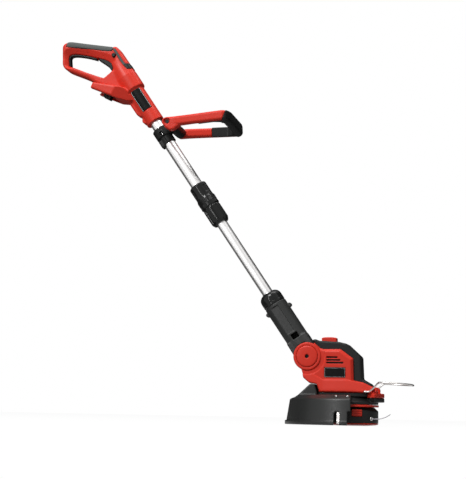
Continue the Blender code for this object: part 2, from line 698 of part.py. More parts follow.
def support_half(name, side, finish, pole):
    casing = piece(name, rod(SUPPORT_R, SUPPORT_FOOT, SUPPORT_TOP, 28, chamfer=1.5), finish, pole)
    neck = [(-22.4, 45), (-22.4, 34), (-23, 4), (0, -10), (22.4, 6), (22.4, 45)]
    lugs = [(SUPPORT_R + 1, SUPPORT_TOP - 16), (-SUPPORT_R, SUPPORT_TOP - 10)]
    join(
        casing,
        tool(prism(neck, -TONGUE_HALF, TONGUE_HALF), pole),
        tool(rod(TONGUE_R, -TONGUE_HALF, TONGUE_HALF, 28, "Y"), pole),
        *(tool(rod(4.2, -7, 7, 16, "Y", (n, 0, s), 0.8), pole) for n, s in lugs),
    )
    bore = LOWER_TUBE_D / 2 + GAP
    room = GAP + 0.1
    low, high = FLANGE_START - room, FLANGE_START + FLANGE_THICK + room
    half, foot, top = PANEL_HALF + GAP, PANEL_FOOT - GAP, PANEL_TOP + GAP
    cut(
        casing,
        tool(rod(bore + 0.3, FLANGE_START - 12, SUPPORT_TOP + 5, 20), pole),
        tool(rod(FLANGE_R + room, low, high, 22), pole),
        tool(rod(SUPPORT_R - 4, SUPPORT_FOOT + 6, FLANGE_START - 9, 24), pole),
        tool(rod(PIN_R + GAP, -WIDE, WIDE, 20, "Y"), pole),
        tool(block(-half, half, -WIDE, -SUPPORT_R + PANEL_DEPTH, foot, top), pole),
        *(tool(rod(1.8, -WIDE, WIDE, 12, "Y", (n, 0, s)), pole) for n, s in lugs),
        *(tool(rod(LUG_SCREW_R + GAP, 7, WIDE, 12, "Y", (n, 0, s)), pole) for n, s in lugs),
    )
    keep(casing, half_space(side, pole))
    return lugs


def make_support(finishes, pole):
    black = finishes["black"]
    support_half("support_left", 1, black, pole)
    lugs = support_half("support_right", -1, black, pole)
    for k, (n, s) in enumerate(lugs):
        centre = (n, 7 + GAP, s)
        socket_screw(f"support_screw_{k + 1}", LUG_SCREW_R, 13, 2, "Y", centre, 1, finishes["steel"], pole)
    back = -SUPPORT_R + PANEL_DEPTH - GAP
    panel = block(-PANEL_HALF, PANEL_HALF, back - 1.2, back, PANEL_FOOT, PANEL_TOP)
    piece("angle_plate", panel, black, pole, bevel=0.4, segments=1)
    bore = LOWER_TUBE_D / 2 + GAP
    foot = SUPPORT_TOP + GAP
    top = foot + COLLAR_LENGTH
    dome = [
        (bore, top), (bore, foot), (COLLAR_R - 1, foot), (COLLAR_R, foot + 2), (COLLAR_R, top - 11),
        (COLLAR_R - 1.6, top - 6), (COLLAR_R - 5.5, top - 2), (COLLAR_R - 9.5, top),
    ]
    piece("release_collar", turned(dome, 28), black, pole, (0, 0, foot))


# The motor head

CORE_OUTLINE = [
    (-75, 165.2), (-70, 167), (-61, 163.6), (-23, 161.8), (-7, 158), (20.5, 132.7), (22.6, 90), (40, 80.3),
    (44, 73), (44, 63),
]
COVER_OUTLINE = [
    (-72, 160.5), (-58, 148), (-52, 147), (-19, 147.2), (6, 129), (7, 86.7), (26, 83), (45.6, 73.8),
    (51.4, 68.1), (55.3, 62.7), (-59, 62.7), (-65, 79.5), (-79, 81.2), (-91, 91.3), (-91, 103),
    (-92.5, 107),
]
SKIRT_OUTLINE = [
    (-50, 88), (-8, 88), (7, 85.5), (26, 81.5), (44.6, 73), (50.4, 67.5), (54, 62.9), (-57.5, 62.9),
    (-60, 72),
]
VENTS = [(131.0, -24.0), (125.7, -18.5), (120.4, -12.6)]  # each slot's height and front end
BUTTON = (-59.0, -29.0, 153.7, 172.0)  # its rear, front, foot and top
PIVOT = (PIVOT_X, 0.0, PIVOT_Z)


def core_outline():
    """The black core: its proud top and front, and a round hollow at the rear for the support's tongue."""
    round_hollow = arc((PIVOT_X, PIVOT_Z), TONGUE_R + 1.6, -58, 52, 8)
    return CORE_OUTLINE + [(-58, 63), (-66, 84)] + round_hollow


def make_core(finishes):
    black = finishes["black"]
    core = piece("motor_cowl", prism(core_outline(), -CORE_HALF, CORE_HALF), black, None, PIVOT, bevel=2.2)
    room = MOTOR_R + RUN
    hollow = [(-44, 60), (-44, 120), (-40, 146), (-24, 148), (-12, 151), (room, MOTOR_TOP + 3), (room, 60)]
    rear, front, foot, top = BUTTON
    half, ledge, rim = BUTTON_HALF, 1.6, 2.8
    floor = foot - BUTTON_TRAVEL - GAP
    roof = foot + rim + GAP
    wide = ledge + RUN
    cut(
        core,
        tool(prism(hollow, -CORE_HALF + WALL, CORE_HALF - WALL)),
        tool(block(rear - RUN, front + RUN, -half - RUN, half + RUN, roof - 1, top + 10)),
        tool(block(rear - wide, front + wide, -half - wide, half + wide, floor, roof)),
    )
    button = block(rear, front, -half, half, foot, top)
    key = piece("tilt_button", button, finishes["red"], None, ((rear + front) / 2, 0, foot), bevel=2.5)
    join(key, tool(block(rear - ledge, front + ledge, -half - ledge, half + ledge, foot, foot + rim)))


def cover_outline():
    return COVER_OUTLINE + arc((PIVOT_X, PIVOT_Z), LOBE_R, 205, 60, 10)


def head_cover(name, side, finish):
    inner = CORE_HALF + GAP
    ends = sorted((side * inner, side * COVER_HALF))
    cover = piece(name, prism(cover_outline(), *ends), finish, None, PIVOT)
    soften(cover, 3, 2)
    flare = sorted((side * inner, side * SKIRT_HALF))
    boss = sorted((side * (TONGUE_HALF + 0.6), side * (inner + 2)))
    join(
        cover,
        tool(prism(SKIRT_OUTLINE, *flare), bevel=4),
        tool(rod(TONGUE_R, *boss, 26, "Y", (PIVOT_X, 0, PIVOT_Z))),
    )
    hollow = sorted((side * (inner - 1), side * (COVER_HALF - WALL)))
    pocket = [(-52, 86), (-52, 142), (-21, 142.4), (1.5, 126), (2.4, 86)]
    deep = sorted((side * (COVER_HALF - 2.4), side * WIDE))
    cut(
        cover,
        tool(prism(pocket, *hollow)),
        tool(rod(PIN_R + GAP, -WIDE, WIDE, 20, "Y", (PIVOT_X, 0, PIVOT_Z))),
        tool(rod(CAP_R + GAP, *deep, 32, "Y", (PIVOT_X, 0, PIVOT_Z))),
        tool(rod(WIRE_D / 2 + 0.4, -WIDE, WIDE, 14, "Y", (WIRE_PIVOT_X, 0, WIRE_PIVOT_Z))),
        tool(rod(3.2, *sorted((side * (SKIRT_HALF - 6), side * WIDE)), 16, "Y", (46.0, 0, 67.5))),
    )
    for level, front in VENTS:
        cut(cover, tool(block(-46, front, *sorted((side * 26, side * WIDE)), level - 1.2, level + 1.2)))
    if side < 0:
        cut(cover, tool(block(-50.1, -8.2, -WIDE, -COVER_HALF + 0.9, 91.8, 111.5)))


def make_head(finishes):
    """The head's shells, caps, motor and the hood over the spool, which all tilt about the pivot."""
    red, black, steel = finishes["red"], finishes["black"], finishes["steel"]
    make_core(finishes)
    head_cover("head_cover_left", 1, red)
    head_cover("head_cover_right", -1, red)
    for name, side in (("pivot_cap_left", 1), ("pivot_cap_right", -1)):
        ends = sorted((side * (COVER_HALF - 2.1), side * (COVER_HALF + 1.6)))
        cap = piece(name, rod(CAP_R, *ends, 32, "Y", PIVOT, 1.0), red, None, PIVOT)
        cut(cap, tool(rod(4.2, -WIDE, WIDE, 6, "Y", PIVOT)))
    pin = rod(PIN_R, -COVER_HALF + 2.7, COVER_HALF - 2.7, 20, "Y", PIVOT, 0.8)
    piece("pivot_pin", pin, steel, None, PIVOT)
    plate = block(-49.8, -8.5, -COVER_HALF - 0.4, -COVER_HALF + 0.6, 92.1, 111.2)
    piece("head_plate", plate, black, None, PIVOT, bevel=0.4, segments=1)
    plan = rounded([(-62, -36), (20, -36), (44, -22), (44, 22), (20, 36), (-62, 36)], 8, 3)
    base = piece("head_base", prism(plan, BASE_LOW, BASE_HIGH, "Z"), black, None, PIVOT)
    cut(base, tool(rod(SHAFT_R + 5, 0, WIDE, 20)))
    for x, y in SHIELD_SCREWS:
        cut(base, tool(rod(SHIELD_SCREW_R + 0.1, 0, BASE_HIGH - 1, 10, centre=(x, y, 0))))
    motor = piece("motor", rod(MOTOR_R, MOTOR_FOOT, MOTOR_TOP, 24, chamfer=1.5), steel, None, PIVOT)
    join(motor, tool(rod(7, BASE_HIGH + GAP, MOTOR_FOOT + 2, 16)))
    cut(motor, tool(rod(SHAFT_R + RUN, 0, MOTOR_FOOT + 12, 16)))
    seat = BASE_LOW - GAP
    bore = SHAFT_R + 6
    hood = [
        (bore, seat), (bore, HOOD_LOW + 8), (SPOOL_R - 6, HOOD_LOW + 2), (SPOOL_R - 3, HOOD_LOW),
        (SPOOL_R, HOOD_LOW), (SPOOL_R, HOOD_EDGE), (HOOD_CONE_R, seat),
    ]
    skirt = piece("spool_hood", turned(hood, 32), black, None, PIVOT)
    shelf = HOOD_EDGE - 0.2
    lower = [(36, shelf), (NOSE_R, shelf), (NOSE_R, NOSE_LOW - GAP), (36, NOSE_LOW - GAP)]
    join(skirt, tool(turned(lower, 12, -39, 78)))
    upper = [(40, NOSE_LOW), (NOSE_R, NOSE_LOW), (NOSE_R, BASE_HIGH + 0.2), (40, BASE_HIGH + 0.2)]
    nose = piece("nose_guard", turned(upper, 12, -41, 82), red, None, PIVOT, bevel=1.2)
    below = HOOD_LOW - 5
    wide, slim = SPOOL_R + GAP, HOOD_CONE_R + GAP
    cone = [(0, below), (wide, below), (wide, HOOD_EDGE + GAP), (slim, BASE_LOW), (0, BASE_LOW)]
    cut(nose, tool(prism(grown(plan, GAP), 0, WIDE, "Z")), tool(turned(cone, 32)))


def make_wire_guard(finishes):
    """The bent wire that swings out in front of the head, one run of rod with a leg on each side."""
    side = SKIRT_HALF + 2.4
    half = [
        (WIRE_PIVOT_X, side - 10, WIRE_PIVOT_Z), (WIRE_PIVOT_X, side - 1.5, WIRE_PIVOT_Z),
        (WIRE_PIVOT_X + 1.5, side, WIRE_PIVOT_Z), (39, side, 66), (48, side + 4, 73.5),
        (56, WIRE_HALF - 8, 81), (60, WIRE_HALF - 4, 82.8), (72, WIRE_HALF, 82.6), (92, WIRE_HALF - 2, 81.6),
        (106, WIRE_HALF - 9, 80.7), (114, WIRE_HALF - 20, 80.2), (118.3, WIRE_HALF - 36, 79.9),
    ]
    route = half + [(x, -y, z) for x, y, z in half[::-1]]
    origin = Vector((WIRE_PIVOT_X, 0, WIRE_PIVOT_Z)) * MM
    return rope("guard_wire", route, WIRE_D, finishes["steel"], origin, 2)


def rope(name, route, diameter, finish, origin, resolution):
    """A round wire or line along a route of points."""
    data = bpy.data.curves.new(name, "CURVE")
    data.dimensions = "3D"
    data.bevel_depth = diameter / 2 * MM
    data.bevel_resolution = resolution
    data.use_fill_caps = True
    spline = data.splines.new("POLY")
    spline.points.add(len(route) - 1)
    for knot, point in zip(spline.points, route):
        knot.co = (*(Vector(point) * MM - Vector(origin)), 1.0)
    data.materials.append(finish)
    obj = bpy.data.objects.new(name, data)
    bpy.context.scene.collection.objects.link(obj)
    obj.location = origin
    return obj


# The shield behind the spool

SHIELD_SCREWS = [(-52.0, -27.0), (-52.0, 27.0)]
SHIELD_SCREW_R = 1.8
CUTTER_SCREWS = [-98.5, -87.2]  # degrees round from the nose


def wall_radius(height):
    """The skirt's inner radius at a height, which leans in from its lip to the deck."""
    lean = (SHIELD_FOOT_R - SHIELD_TOP_R) / (SHIELD_HIGH - SHIELD_LIP_HIGH)
    return SHIELD_FOOT_R - SHIELD_WALL - lean * (max(height, SHIELD_LIP_HIGH) - SHIELD_LIP_HIGH)


def make_shield(finishes):
    """The skirt, its deck under the head and the hollow hump behind the head."""
    wall, lip = SHIELD_WALL, SHIELD_LIP_HIGH
    seat, crest = BASE_LOW - GAP, SHIELD_CREST
    rim = HOOD_CONE_R + 8
    section = [
        (rim, seat - wall), (SHIELD_SEAT_R + 1, seat - wall), (SHIELD_SEAT_R + 3, crest - wall),
        (SHIELD_CREST_R - 0.6, crest - wall), (wall_radius(SHIELD_HIGH) + 0.4, SHIELD_HIGH - 1),
        (wall_radius(lip), lip), (wall_radius(lip), SHIELD_LOW), (SHIELD_LIP_R, SHIELD_LOW),
        (SHIELD_LIP_R, lip),
        (SHIELD_FOOT_R, lip), (SHIELD_TOP_R, SHIELD_HIGH), (SHIELD_TOP_R - 2, SHIELD_HIGH + 1.5),
        (SHIELD_CREST_R, crest), (SHIELD_SEAT_R + 2, crest), (SHIELD_SEAT_R, seat), (rim, seat),
    ]
    sweep = SHIELD_NEAR - SHIELD_FAR
    shield = piece("shield", turned(section, 32, SHIELD_FAR, sweep), finishes["black"], None, PIVOT)
    rear, below = -SHIELD_CREST_R - 9, crest - wall - 6
    hump = [
        (rear, SHIELD_HIGH), (-76.5, 80), (-68, 78.5), (-63.2, 62), (-63.2, seat), (-60, seat),
        (-60, seat - wall), (rear, seat - wall - 5),
    ]
    inside = [(rear + 7, below), (-74, 75.5), (-70, 75), (-66.2, 62), (-66.2, below)]
    join(shield, tool(prism(hump, -HUMP_HALF, HUMP_HALF), bevel=2.0))
    cut(
        shield,
        tool(prism(inside, -HUMP_HALF + 3, HUMP_HALF - 3)),
        tool(arch(-18.0, -7.7, 26.0)),
        tool(block(7.0, 40, -WIDE, -90, -5, 27)),
    )
    for k, (x, y) in enumerate(SHIELD_SCREWS):
        cut(shield, tool(rod(SHIELD_SCREW_R + 0.2, 0, WIDE, 10, centre=(x, y, 0))))
        centre = (x, y, seat - wall - GAP)
        wide = SHIELD_SCREW_R * 2
        socket_screw(f"shield_screw_{k + 1}", wide, 7, 2.4, "Z", centre, -1, finishes["steel"])


def make_line_cutter(finishes):
    """The steel blade inside the skirt's front post, bent in under the deck, with its two screws."""
    shield = bpy.data.objects["shield"]
    inner = wall_radius(SHIELD_HIGH) - GAP
    thick, deck = CUTTER_THICK, SHIELD_CREST - SHIELD_WALL - GAP
    low, high = 3.5, SHIELD_HIGH - 3
    foot = wall_radius(low) - GAP
    tip, under = SHIELD_CREST_R + 1, deck - 1.4
    blade = [
        (foot - thick, low), (foot, low), (foot, SHIELD_LIP_HIGH), (inner, high), (tip, under),
        (tip, under - thick), (inner - thick, high - thick), (foot - thick, SHIELD_LIP_HIGH),
    ]
    cutter = piece("line_cutter", turned(blade, 3, -96.0, 9.0), finishes["steel"], None, PIVOT)
    flange = [(inner - 3, high + 0.6), (tip, under), (tip, under - thick), (inner - 3, high + 0.6 - thick)]
    join(cutter, tool(turned(flange, 3, -101.0, 16.0)))
    run = SHIELD_TOP_R - 2 - SHIELD_CREST_R
    fall = SHIELD_CREST - SHIELD_HIGH - 1.5
    radius, height = SHIELD_CREST_R + run / 2, SHIELD_CREST - fall / 2
    for k, angle in enumerate(CUTTER_SCREWS):
        at = Vector((radius, 0, height)) @ Matrix.Rotation(math.radians(-angle), 3, "Z")
        lean = math.degrees(math.atan2(fall, run))
        frame = axes(f"cutter_screw_axes_{k + 1}", at, lean, angle)
        for obj in (shield, cutter):
            cut(obj, tool(rod(1.5, -20, 10, 10), frame))
        socket_screw(f"cutter_screw_{k + 1}", 2.6, 6.5, 1.8, "Z", (0, 0, GAP), 1, finishes["steel"], frame)


def arch(low_x, high_x, high_z):
    """A tall cutter with a round top, reaching out through the right side of the skirt."""
    half = (high_x - low_x) / 2
    top = arc((low_x + half, high_z - half), half, 0, 180, 6)
    return prism([(low_x, -5), (high_x, -5), *top], -WIDE, -90)


# The spool

def tab_shape(half_width, low_r, high_r, low_z, high_z):
    steps = 5
    spread = math.degrees(math.asin(half_width / high_r))
    outer = arc((0, 0), high_r, -spread, spread, steps)
    inner = [(low_r, half_width), (low_r, -half_width)]
    return prism(outer + inner, low_z, high_z, "Z")


def make_spool_tabs(housing, finishes):
    """The two keys that let the cap go. Each is pressed in towards the spool's axis."""
    for name, angle in (("spool_tab_right", TAB_ANGLE), ("spool_tab_left", TAB_ANGLE + 180)):
        window = tab_shape(TAB_HALF + GAP, SPOOL_R - 12, SPOOL_R + 5, TAB_LOW - GAP, TAB_HIGH + GAP)
        cut(housing, tool(spoke(window, angle)))
        key = tab_shape(TAB_HALF, SPOOL_R - 6.4, SPOOL_R + 0.8, TAB_LOW, TAB_HIGH)
        at = Matrix.Rotation(math.radians(angle), 3, "Z") @ Vector((SPOOL_R, 0, TAB_LOW))
        tab = piece(name, spoke(key, angle), finishes["red"], None, at)
        back = SPOOL_R - SPOOL_WALL - 1.9
        stop = tab_shape(TAB_HALF + 2.5, SPOOL_R - 7, back, TAB_LOW - 1.6, TAB_HIGH - 4)
        join(tab, tool(spoke(stop, angle)))


def make_spool(finishes):
    red, black, steel = finishes["red"], finishes["black"], finishes["steel"]
    wall = SPOOL_WALL
    inner = SPOOL_R - wall
    foot, roof = CAP_THICK + GAP, SPOOL_TOP - wall
    hub = SHAFT_R + 4
    cup = [
        (hub, SPOOL_TOP), (hub, roof), (SPOOL_R - 9, roof), (inner, SPOOL_SHOULDER - 1), (inner, foot),
        (SPOOL_R, foot), (SPOOL_R, SPOOL_SHOULDER), (SPOOL_R - 8, SPOOL_TOP),
    ]
    housing = piece("spool_housing", turned(cup, 36), black)
    join(housing, tool(pipe(SHAFT_R + GAP, hub + 0.5, SPOOL_TOP - 12, SPOOL_TOP + 2, 16)))
    hole = rod(EYELET_R - 0.7, SPOOL_R - 8, SPOOL_R + 5, 14, "X", (0, 0, EYELET_Z))
    cut(housing, tool(spoke(hole, EYELET_ANGLE)))
    make_spool_tabs(housing, finishes)
    low, high, edge = SPOOL_TOP + GAP, RING_TOP, SPOOL_R + 0.8
    ring = [(SPOOL_R - 9, low), (edge, low), (edge, high), (SPOOL_R - 9, high)]
    piece("spool_ring", turned(ring, 36), red)
    lip = inner - GAP
    cap = [
        (0, 0), (CAP_FLAT_R, 0), (SPOOL_R - 3, 1.6), (SPOOL_R, 3.2), (SPOOL_R, CAP_THICK), (lip, CAP_THICK),
        (lip, CAP_THICK + 4), (lip - 1.7, CAP_THICK + 4), (lip - 1.7, CAP_THICK - 1), (0, CAP_THICK - 1),
    ]
    piece("spool_cap", turned(cap, 32), red)
    low, high, cheek = CAP_THICK - 1 + GAP, BOBBIN_TOP, 1.6
    bore, core = SHAFT_R + 1.2, BOBBIN_CORE_R
    bobbin = [
        (bore, low), (BOBBIN_R, low), (BOBBIN_R, low + cheek), (core, low + cheek), (core, high - cheek),
        (BOBBIN_R, high - cheek), (BOBBIN_R, high), (bore, high),
    ]
    piece("line_bobbin", turned(bobbin, 24), black)
    low, high = low + cheek + GAP, high - cheek - GAP
    wound = pipe(core + GAP, BOBBIN_R - 6, low, high, 22)
    piece("wound_line", wound, finishes["line"])
    piece("drive_shaft", rod(SHAFT_R, CAP_THICK + 1.3, MOTOR_FOOT + 10, 16), steel)
    neck, face, end = EYELET_R - 1, SPOOL_R + 0.2, SPOOL_R + EYELET_LIP
    bore, back = 1.2, SPOOL_R - 6
    sleeve = [(bore, back), (neck, back), (neck, face), (EYELET_R, face), (EYELET_R, end), (bore, end)]
    piece("eyelet", spoke(turned(sleeve, 14, axis="X", centre=(0, 0, EYELET_Z)), EYELET_ANGLE), steel)


LINE_ROUTE = [
    (42.9, -32.3, 13.7), (45.3, -34.1, 13.7), (47.8, -35.9, 13.6), (51.2, -37.9, 13.5), (55.0, -39.8, 13.6),
    (59.0, -41.5, 14.0), (63.0, -43.0, 14.8), (66.9, -44.2, 16.0), (70.6, -45.2, 17.5), (74.0, -45.9, 19.2),
    (77.1, -46.3, 21.2), (79.8, -46.5, 23.3),
]


def make_cutting_line(finishes):
    rope("cutting_line", LINE_ROUTE, LINE_D, finishes["line"], Vector((0, 0, 0)), 2)


def main():
    for obj in list(bpy.data.objects):
        bpy.data.objects.remove(obj, do_unlink=True)
    finishes = make_surfaces()
    pole, handle, loop = make_frames()
    make_rear_handle(finishes, handle)
    make_trigger(finishes, handle)
    make_lock_button(finishes, handle)
    make_tubes(finishes, pole)
    make_twist_lock(finishes, pole)
    make_loop_clamp(finishes, pole)
    make_loop_handle(finishes, loop)
    make_support(finishes, pole)
    make_head(finishes)
    make_wire_guard(finishes)
    make_shield(finishes)
    make_line_cutter(finishes)
    make_spool(finishes)
    make_cutting_line(finishes)


main()
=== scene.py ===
import json
import math

import bmesh
import bpy
import numpy as np
from mathutils import Matrix, Vector


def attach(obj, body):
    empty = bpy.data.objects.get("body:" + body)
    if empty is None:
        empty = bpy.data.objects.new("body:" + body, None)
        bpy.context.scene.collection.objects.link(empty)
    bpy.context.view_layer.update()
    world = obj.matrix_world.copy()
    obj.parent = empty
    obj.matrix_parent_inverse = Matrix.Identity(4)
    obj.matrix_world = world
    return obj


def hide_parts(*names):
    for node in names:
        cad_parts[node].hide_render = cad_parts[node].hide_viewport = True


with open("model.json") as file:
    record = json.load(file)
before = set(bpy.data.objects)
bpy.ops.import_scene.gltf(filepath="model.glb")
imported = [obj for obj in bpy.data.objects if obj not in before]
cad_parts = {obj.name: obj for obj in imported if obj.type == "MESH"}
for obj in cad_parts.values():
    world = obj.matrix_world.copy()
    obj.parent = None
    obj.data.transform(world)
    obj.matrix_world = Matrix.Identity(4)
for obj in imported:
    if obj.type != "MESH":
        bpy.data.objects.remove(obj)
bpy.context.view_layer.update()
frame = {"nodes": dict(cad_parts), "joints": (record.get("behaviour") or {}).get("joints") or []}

print("frame loaded:", len(frame["nodes"]), "nodes")

# Lengths are in millimetres until makePiece turns them into metres.
mm = 0.001


# Axes: an origin and a matrix whose rows are the X, Y and Z directions

joints = {joint["name"]: joint for joint in frame["joints"]}
pivot = np.array(joints["head_tilt"]["pos_m"]) / mm
poleWay = np.array(joints["telescope"]["axis"], float)
poleLay = dict(handleStart=586.0, loopRise=3.0)

worldAxes = (np.zeros(3), np.eye(3))
poleTurn = np.array([[poleWay[2], 0, -poleWay[0]], [0, 1, 0], poleWay])
poleAxes = (pivot, poleTurn)
handleAxes = (pivot + poleLay["handleStart"] * poleWay, poleTurn)
rise = math.radians(poleLay["loopRise"])
loopTurn = np.array([[math.cos(rise), 0, math.sin(rise)], [0, 1, 0], [-math.sin(rise), 0, math.cos(rise)]])
loopAxes = (np.array(joints["loop_fold"]["pos_m"]) / mm, loopTurn)


def axesAt(base, point, way, side=(1.0, 0.0, 0.0)):
    # axes at a point of other axes, with Z along way and X as near to side as can be
    up = np.array(way, float) / np.linalg.norm(way)
    right = np.array(side, float) - np.dot(side, up) * up
    right /= np.linalg.norm(right)
    origin, turn = base
    return origin + np.array(point, float) @ turn, np.array([right, np.cross(up, right), up]) @ turn


# Outlines and profiles

def softened(points, reach, closed=True, steps=5):
    # each corner becomes a quadratic curve that starts reach before it and ends reach after it
    corners = np.asarray(points, float)[:, :2]
    reach = np.broadcast_to(np.asarray(reach, float), len(corners))
    before = np.roll(corners, 1, axis=0) - corners
    after = np.roll(corners, -1, axis=0) - corners
    lengths = np.linalg.norm(before, axis=1), np.linalg.norm(after, axis=1)
    room = np.minimum(reach, 0.48 * np.minimum(*lengths))
    start = corners + before / lengths[0][:, None] * room[:, None]
    end = corners + after / lengths[1][:, None] * room[:, None]
    t = np.linspace(0, 1, steps + 1)[None, :, None]
    curve = start[:, None] * (1 - t) ** 2 + corners[:, None] * 2 * t * (1 - t) + end[:, None] * t**2
    if closed:
        return curve.reshape(-1, 2)
    return np.concatenate([corners[:1], curve[1:-1].reshape(-1, 2), corners[-1:]])


def profileOf(points, closed=False, steps=4):
    # points of (radius, place along the axis, how far each corner is softened)
    points = np.asarray(points, float)
    return softened(points, points[:, 2], closed, steps)


def beside(path, distance):
    # an open path moved to its left
    path = np.asarray(path, float)
    way = np.gradient(path, axis=0)
    way /= np.linalg.norm(way, axis=1)[:, None]
    return path + np.stack([-way[:, 1], way[:, 0]], axis=1) * distance


def arc(centre, radius, first, last, steps):
    # points on a circle, from one angle to another, in degrees
    angles = np.radians(np.linspace(first, last, steps + 1))
    return np.stack([centre[0] + radius * np.cos(angles), centre[1] + radius * np.sin(angles)], axis=1)


def looped(points):
    # a closed line, with its first point again at its end
    return np.concatenate([points, points[:1]])


def smoothRoute(points, steps):
    # a curve through all the points: each span is the cubic of its four nearest ones
    p = np.asarray(points, float)
    p = np.concatenate([2 * p[:1] - p[1:2], p, 2 * p[-1:] - p[-2:-1]])
    t = np.linspace(0, 1, steps, endpoint=False)[None, :, None]
    a, b, c, d = (p[k:len(p) - 3 + k, None] for k in range(4))
    spans = 0.5 * (2 * b + (c - a) * t + (2 * a - 5 * b + 4 * c - d) * t**2 + (3 * b - a - 3 * c + d) * t**3)
    return np.concatenate([spans.reshape(-1, p.shape[1]), p[-2:-1]])


# Surfaces as points and faces

def ringFaces(rows, columns, wrapRows, wrapColumns):
    # four-sided faces over a grid of points, joined round where it wraps
    r = np.arange(rows if wrapRows else rows - 1)[:, None]
    c = np.arange(columns if wrapColumns else columns - 1)[None, :]
    nextR, nextC = (r + 1) % rows, (c + 1) % columns
    corners = (r * columns + c, r * columns + nextC, nextR * columns + nextC, nextR * columns + c)
    return np.stack([np.broadcast_to(k, (r.size, c.size)) for k in corners], axis=-1).reshape(-1, 4)


def lathe(profile, steps=96, bulge=None):
    # a profile of (radius, height) carried round Z; bulge(angle, height) is added to the radius
    line = np.asarray(profile, float)
    solid = line[0, 0] < 1e-6 and line[-1, 0] < 1e-6
    inner = line[1:-1] if solid else line
    angle = np.arange(steps)[None, :] * 2 * math.pi / steps
    height = inner[:, 1, None]
    radius = inner[:, 0, None] + (0 if bulge is None else bulge(angle, height)) + 0 * angle
    points = np.stack([radius * np.cos(angle), radius * np.sin(angle), height + 0 * angle], axis=-1)
    points = points.reshape(-1, 3)
    faces = [ringFaces(len(inner), steps, not solid, True)]
    if solid:
        count = len(points)
        ring = np.arange(steps)
        last = count - steps
        points = np.concatenate([points, [[0, 0, line[0, 1]], [0, 0, line[-1, 1]]]])
        faces.append(np.stack([ring, np.roll(ring, -1), np.full(steps, count)], axis=1))
        faces.append(np.stack([last + ring, last + np.roll(ring, -1), np.full(steps, count + 1)], axis=1))
    return points, faces


def sweep(route, radius, sides=16, upright=(0, 0, 1)):
    # a circle carried along a route, square to it, with flat ends; radius may change along it, and upright is
    # any way that the route never takes
    route = np.asarray(route, float)
    way = np.gradient(route, axis=0)
    way /= np.linalg.norm(way, axis=1)[:, None]
    side = np.cross(way, upright)
    side /= np.linalg.norm(side, axis=1)[:, None]
    up = np.cross(side, way)
    angle = np.arange(sides)[None, :, None] * 2 * math.pi / sides
    reach = np.broadcast_to(np.asarray(radius, float), len(route))[:, None, None]
    points = route[:, None] + reach * (np.cos(angle) * side[:, None] + np.sin(angle) * up[:, None])
    ends = [np.arange(sides)[None], np.arange((len(route) - 1) * sides, len(route) * sides)[None]]
    return points.reshape(-1, 3), [ringFaces(len(route), sides, False, True), *ends]


def slabShape(outline, low, high):
    # an outline in X and Y carried along Z, with flat ends
    outline = np.asarray(outline, float)
    count = len(outline)
    points = np.concatenate([np.column_stack([outline, np.full(count, k)]) for k in (low, high)])
    return points, [ringFaces(2, count, False, True), np.arange(count)[None], np.arange(count, 2 * count)[None]]


def turnedAbout(points, angle):
    # points turned about Z by an angle in degrees
    a = math.radians(angle)
    return np.asarray(points, float) @ np.array([[math.cos(a), math.sin(a), 0], [-math.sin(a), math.cos(a), 0],
                                                  [0, 0, 1]])


def hexShare(angle):
    # a hexagon's half-width over its reach at an angle: 1 in the middle of a flat, less towards a corner
    return np.cos(np.mod(angle + math.pi / 6, math.pi / 3) - math.pi / 6)


def screwShape(radius, length, head, cup):
    # a turned screw whose head lies on Z = 0, with a dished rim and a hexagonal socket of half-width cup
    line = profileOf([
        (0, -length, 0), (radius * 0.5, -length, 0.3), (radius * 0.5, 0, 0.1), (radius, 0, 0.2),
        (radius, head, 0.5), (cup + 0.35, head, 0.2), (cup, head - 0.3, 0.05), (cup, head * 0.3, 0.05),
        (0, head * 0.3, 0),
    ], steps=3)
    line[-1, 0] = 0

    def flats(angle, height):
        socket = (np.arange(len(line) - 2) >= len(line) - 2 - 9)[:, None] & (height < head - 0.05)
        return np.where(socket, cup * (1 / hexShare(angle) - 1), 0)

    return lathe(line, 36, flats)


# Fields: distances in millimetres from a shape's skin, negative inside it

def lattice(low, high, step):
    # the x, y and z of a regular lattice, shaped so that sums of them fill it
    x, y, z = (np.arange(a - 1.5 * step, b + 2.5 * step, step, dtype=np.float32) for a, b in zip(low, high))
    return x[:, None, None], y[None, :, None], z[None, None, :]


def outlineField(outline, u, v):
    # the distance to the nearest edge of a closed outline, signed by how often a ray crosses it
    u, v = np.broadcast_arrays(u, v)
    best = np.full(u.shape, 1e9, np.float32)
    inside = np.zeros(u.shape, bool)
    corners = np.asarray(outline, float)
    for a, b in zip(corners, np.roll(corners, -1, axis=0)):
        edge = b - a
        du, dv = u - a[0], v - a[1]
        t = np.clip((du * edge[0] + dv * edge[1]) / max(edge @ edge, 1e-9), 0, 1)
        best = np.minimum(best, (du - t * edge[0]) ** 2 + (dv - t * edge[1]) ** 2)
        if edge[1]:
            inside ^= ((a[1] > v) != (b[1] > v)) & (du < edge[0] * dv / edge[1])
    return np.where(inside, -np.sqrt(best), np.sqrt(best))


def slabField(flat, across, low, high, edge=0.0):
    # a flat field carried from low to high, its edges rounded to a radius
    a, b = flat + edge, np.abs(across - (low + high) / 2) - (high - low) / 2 + edge
    return np.minimum(np.maximum(a, b), 0) + np.hypot(np.maximum(a, 0), np.maximum(b, 0)) - edge


def chamferSlab(flat, across, low, high, size, edge=0.8):
    # a flat field carried from low to high, its edges cut at 45 degrees
    side = np.abs(across - (low + high) / 2) - (high - low) / 2
    slope = (flat + side) * math.sqrt(0.5) + size * math.sqrt(0.5)
    return carved(carved(flat, -side, edge), -slope, edge)


def rodField(u, v, along, radius, low, high, edge=0.0):
    # a circle's field carried along its axis from low to high
    return slabField(np.hypot(u, v) - radius, along, low, high, edge)


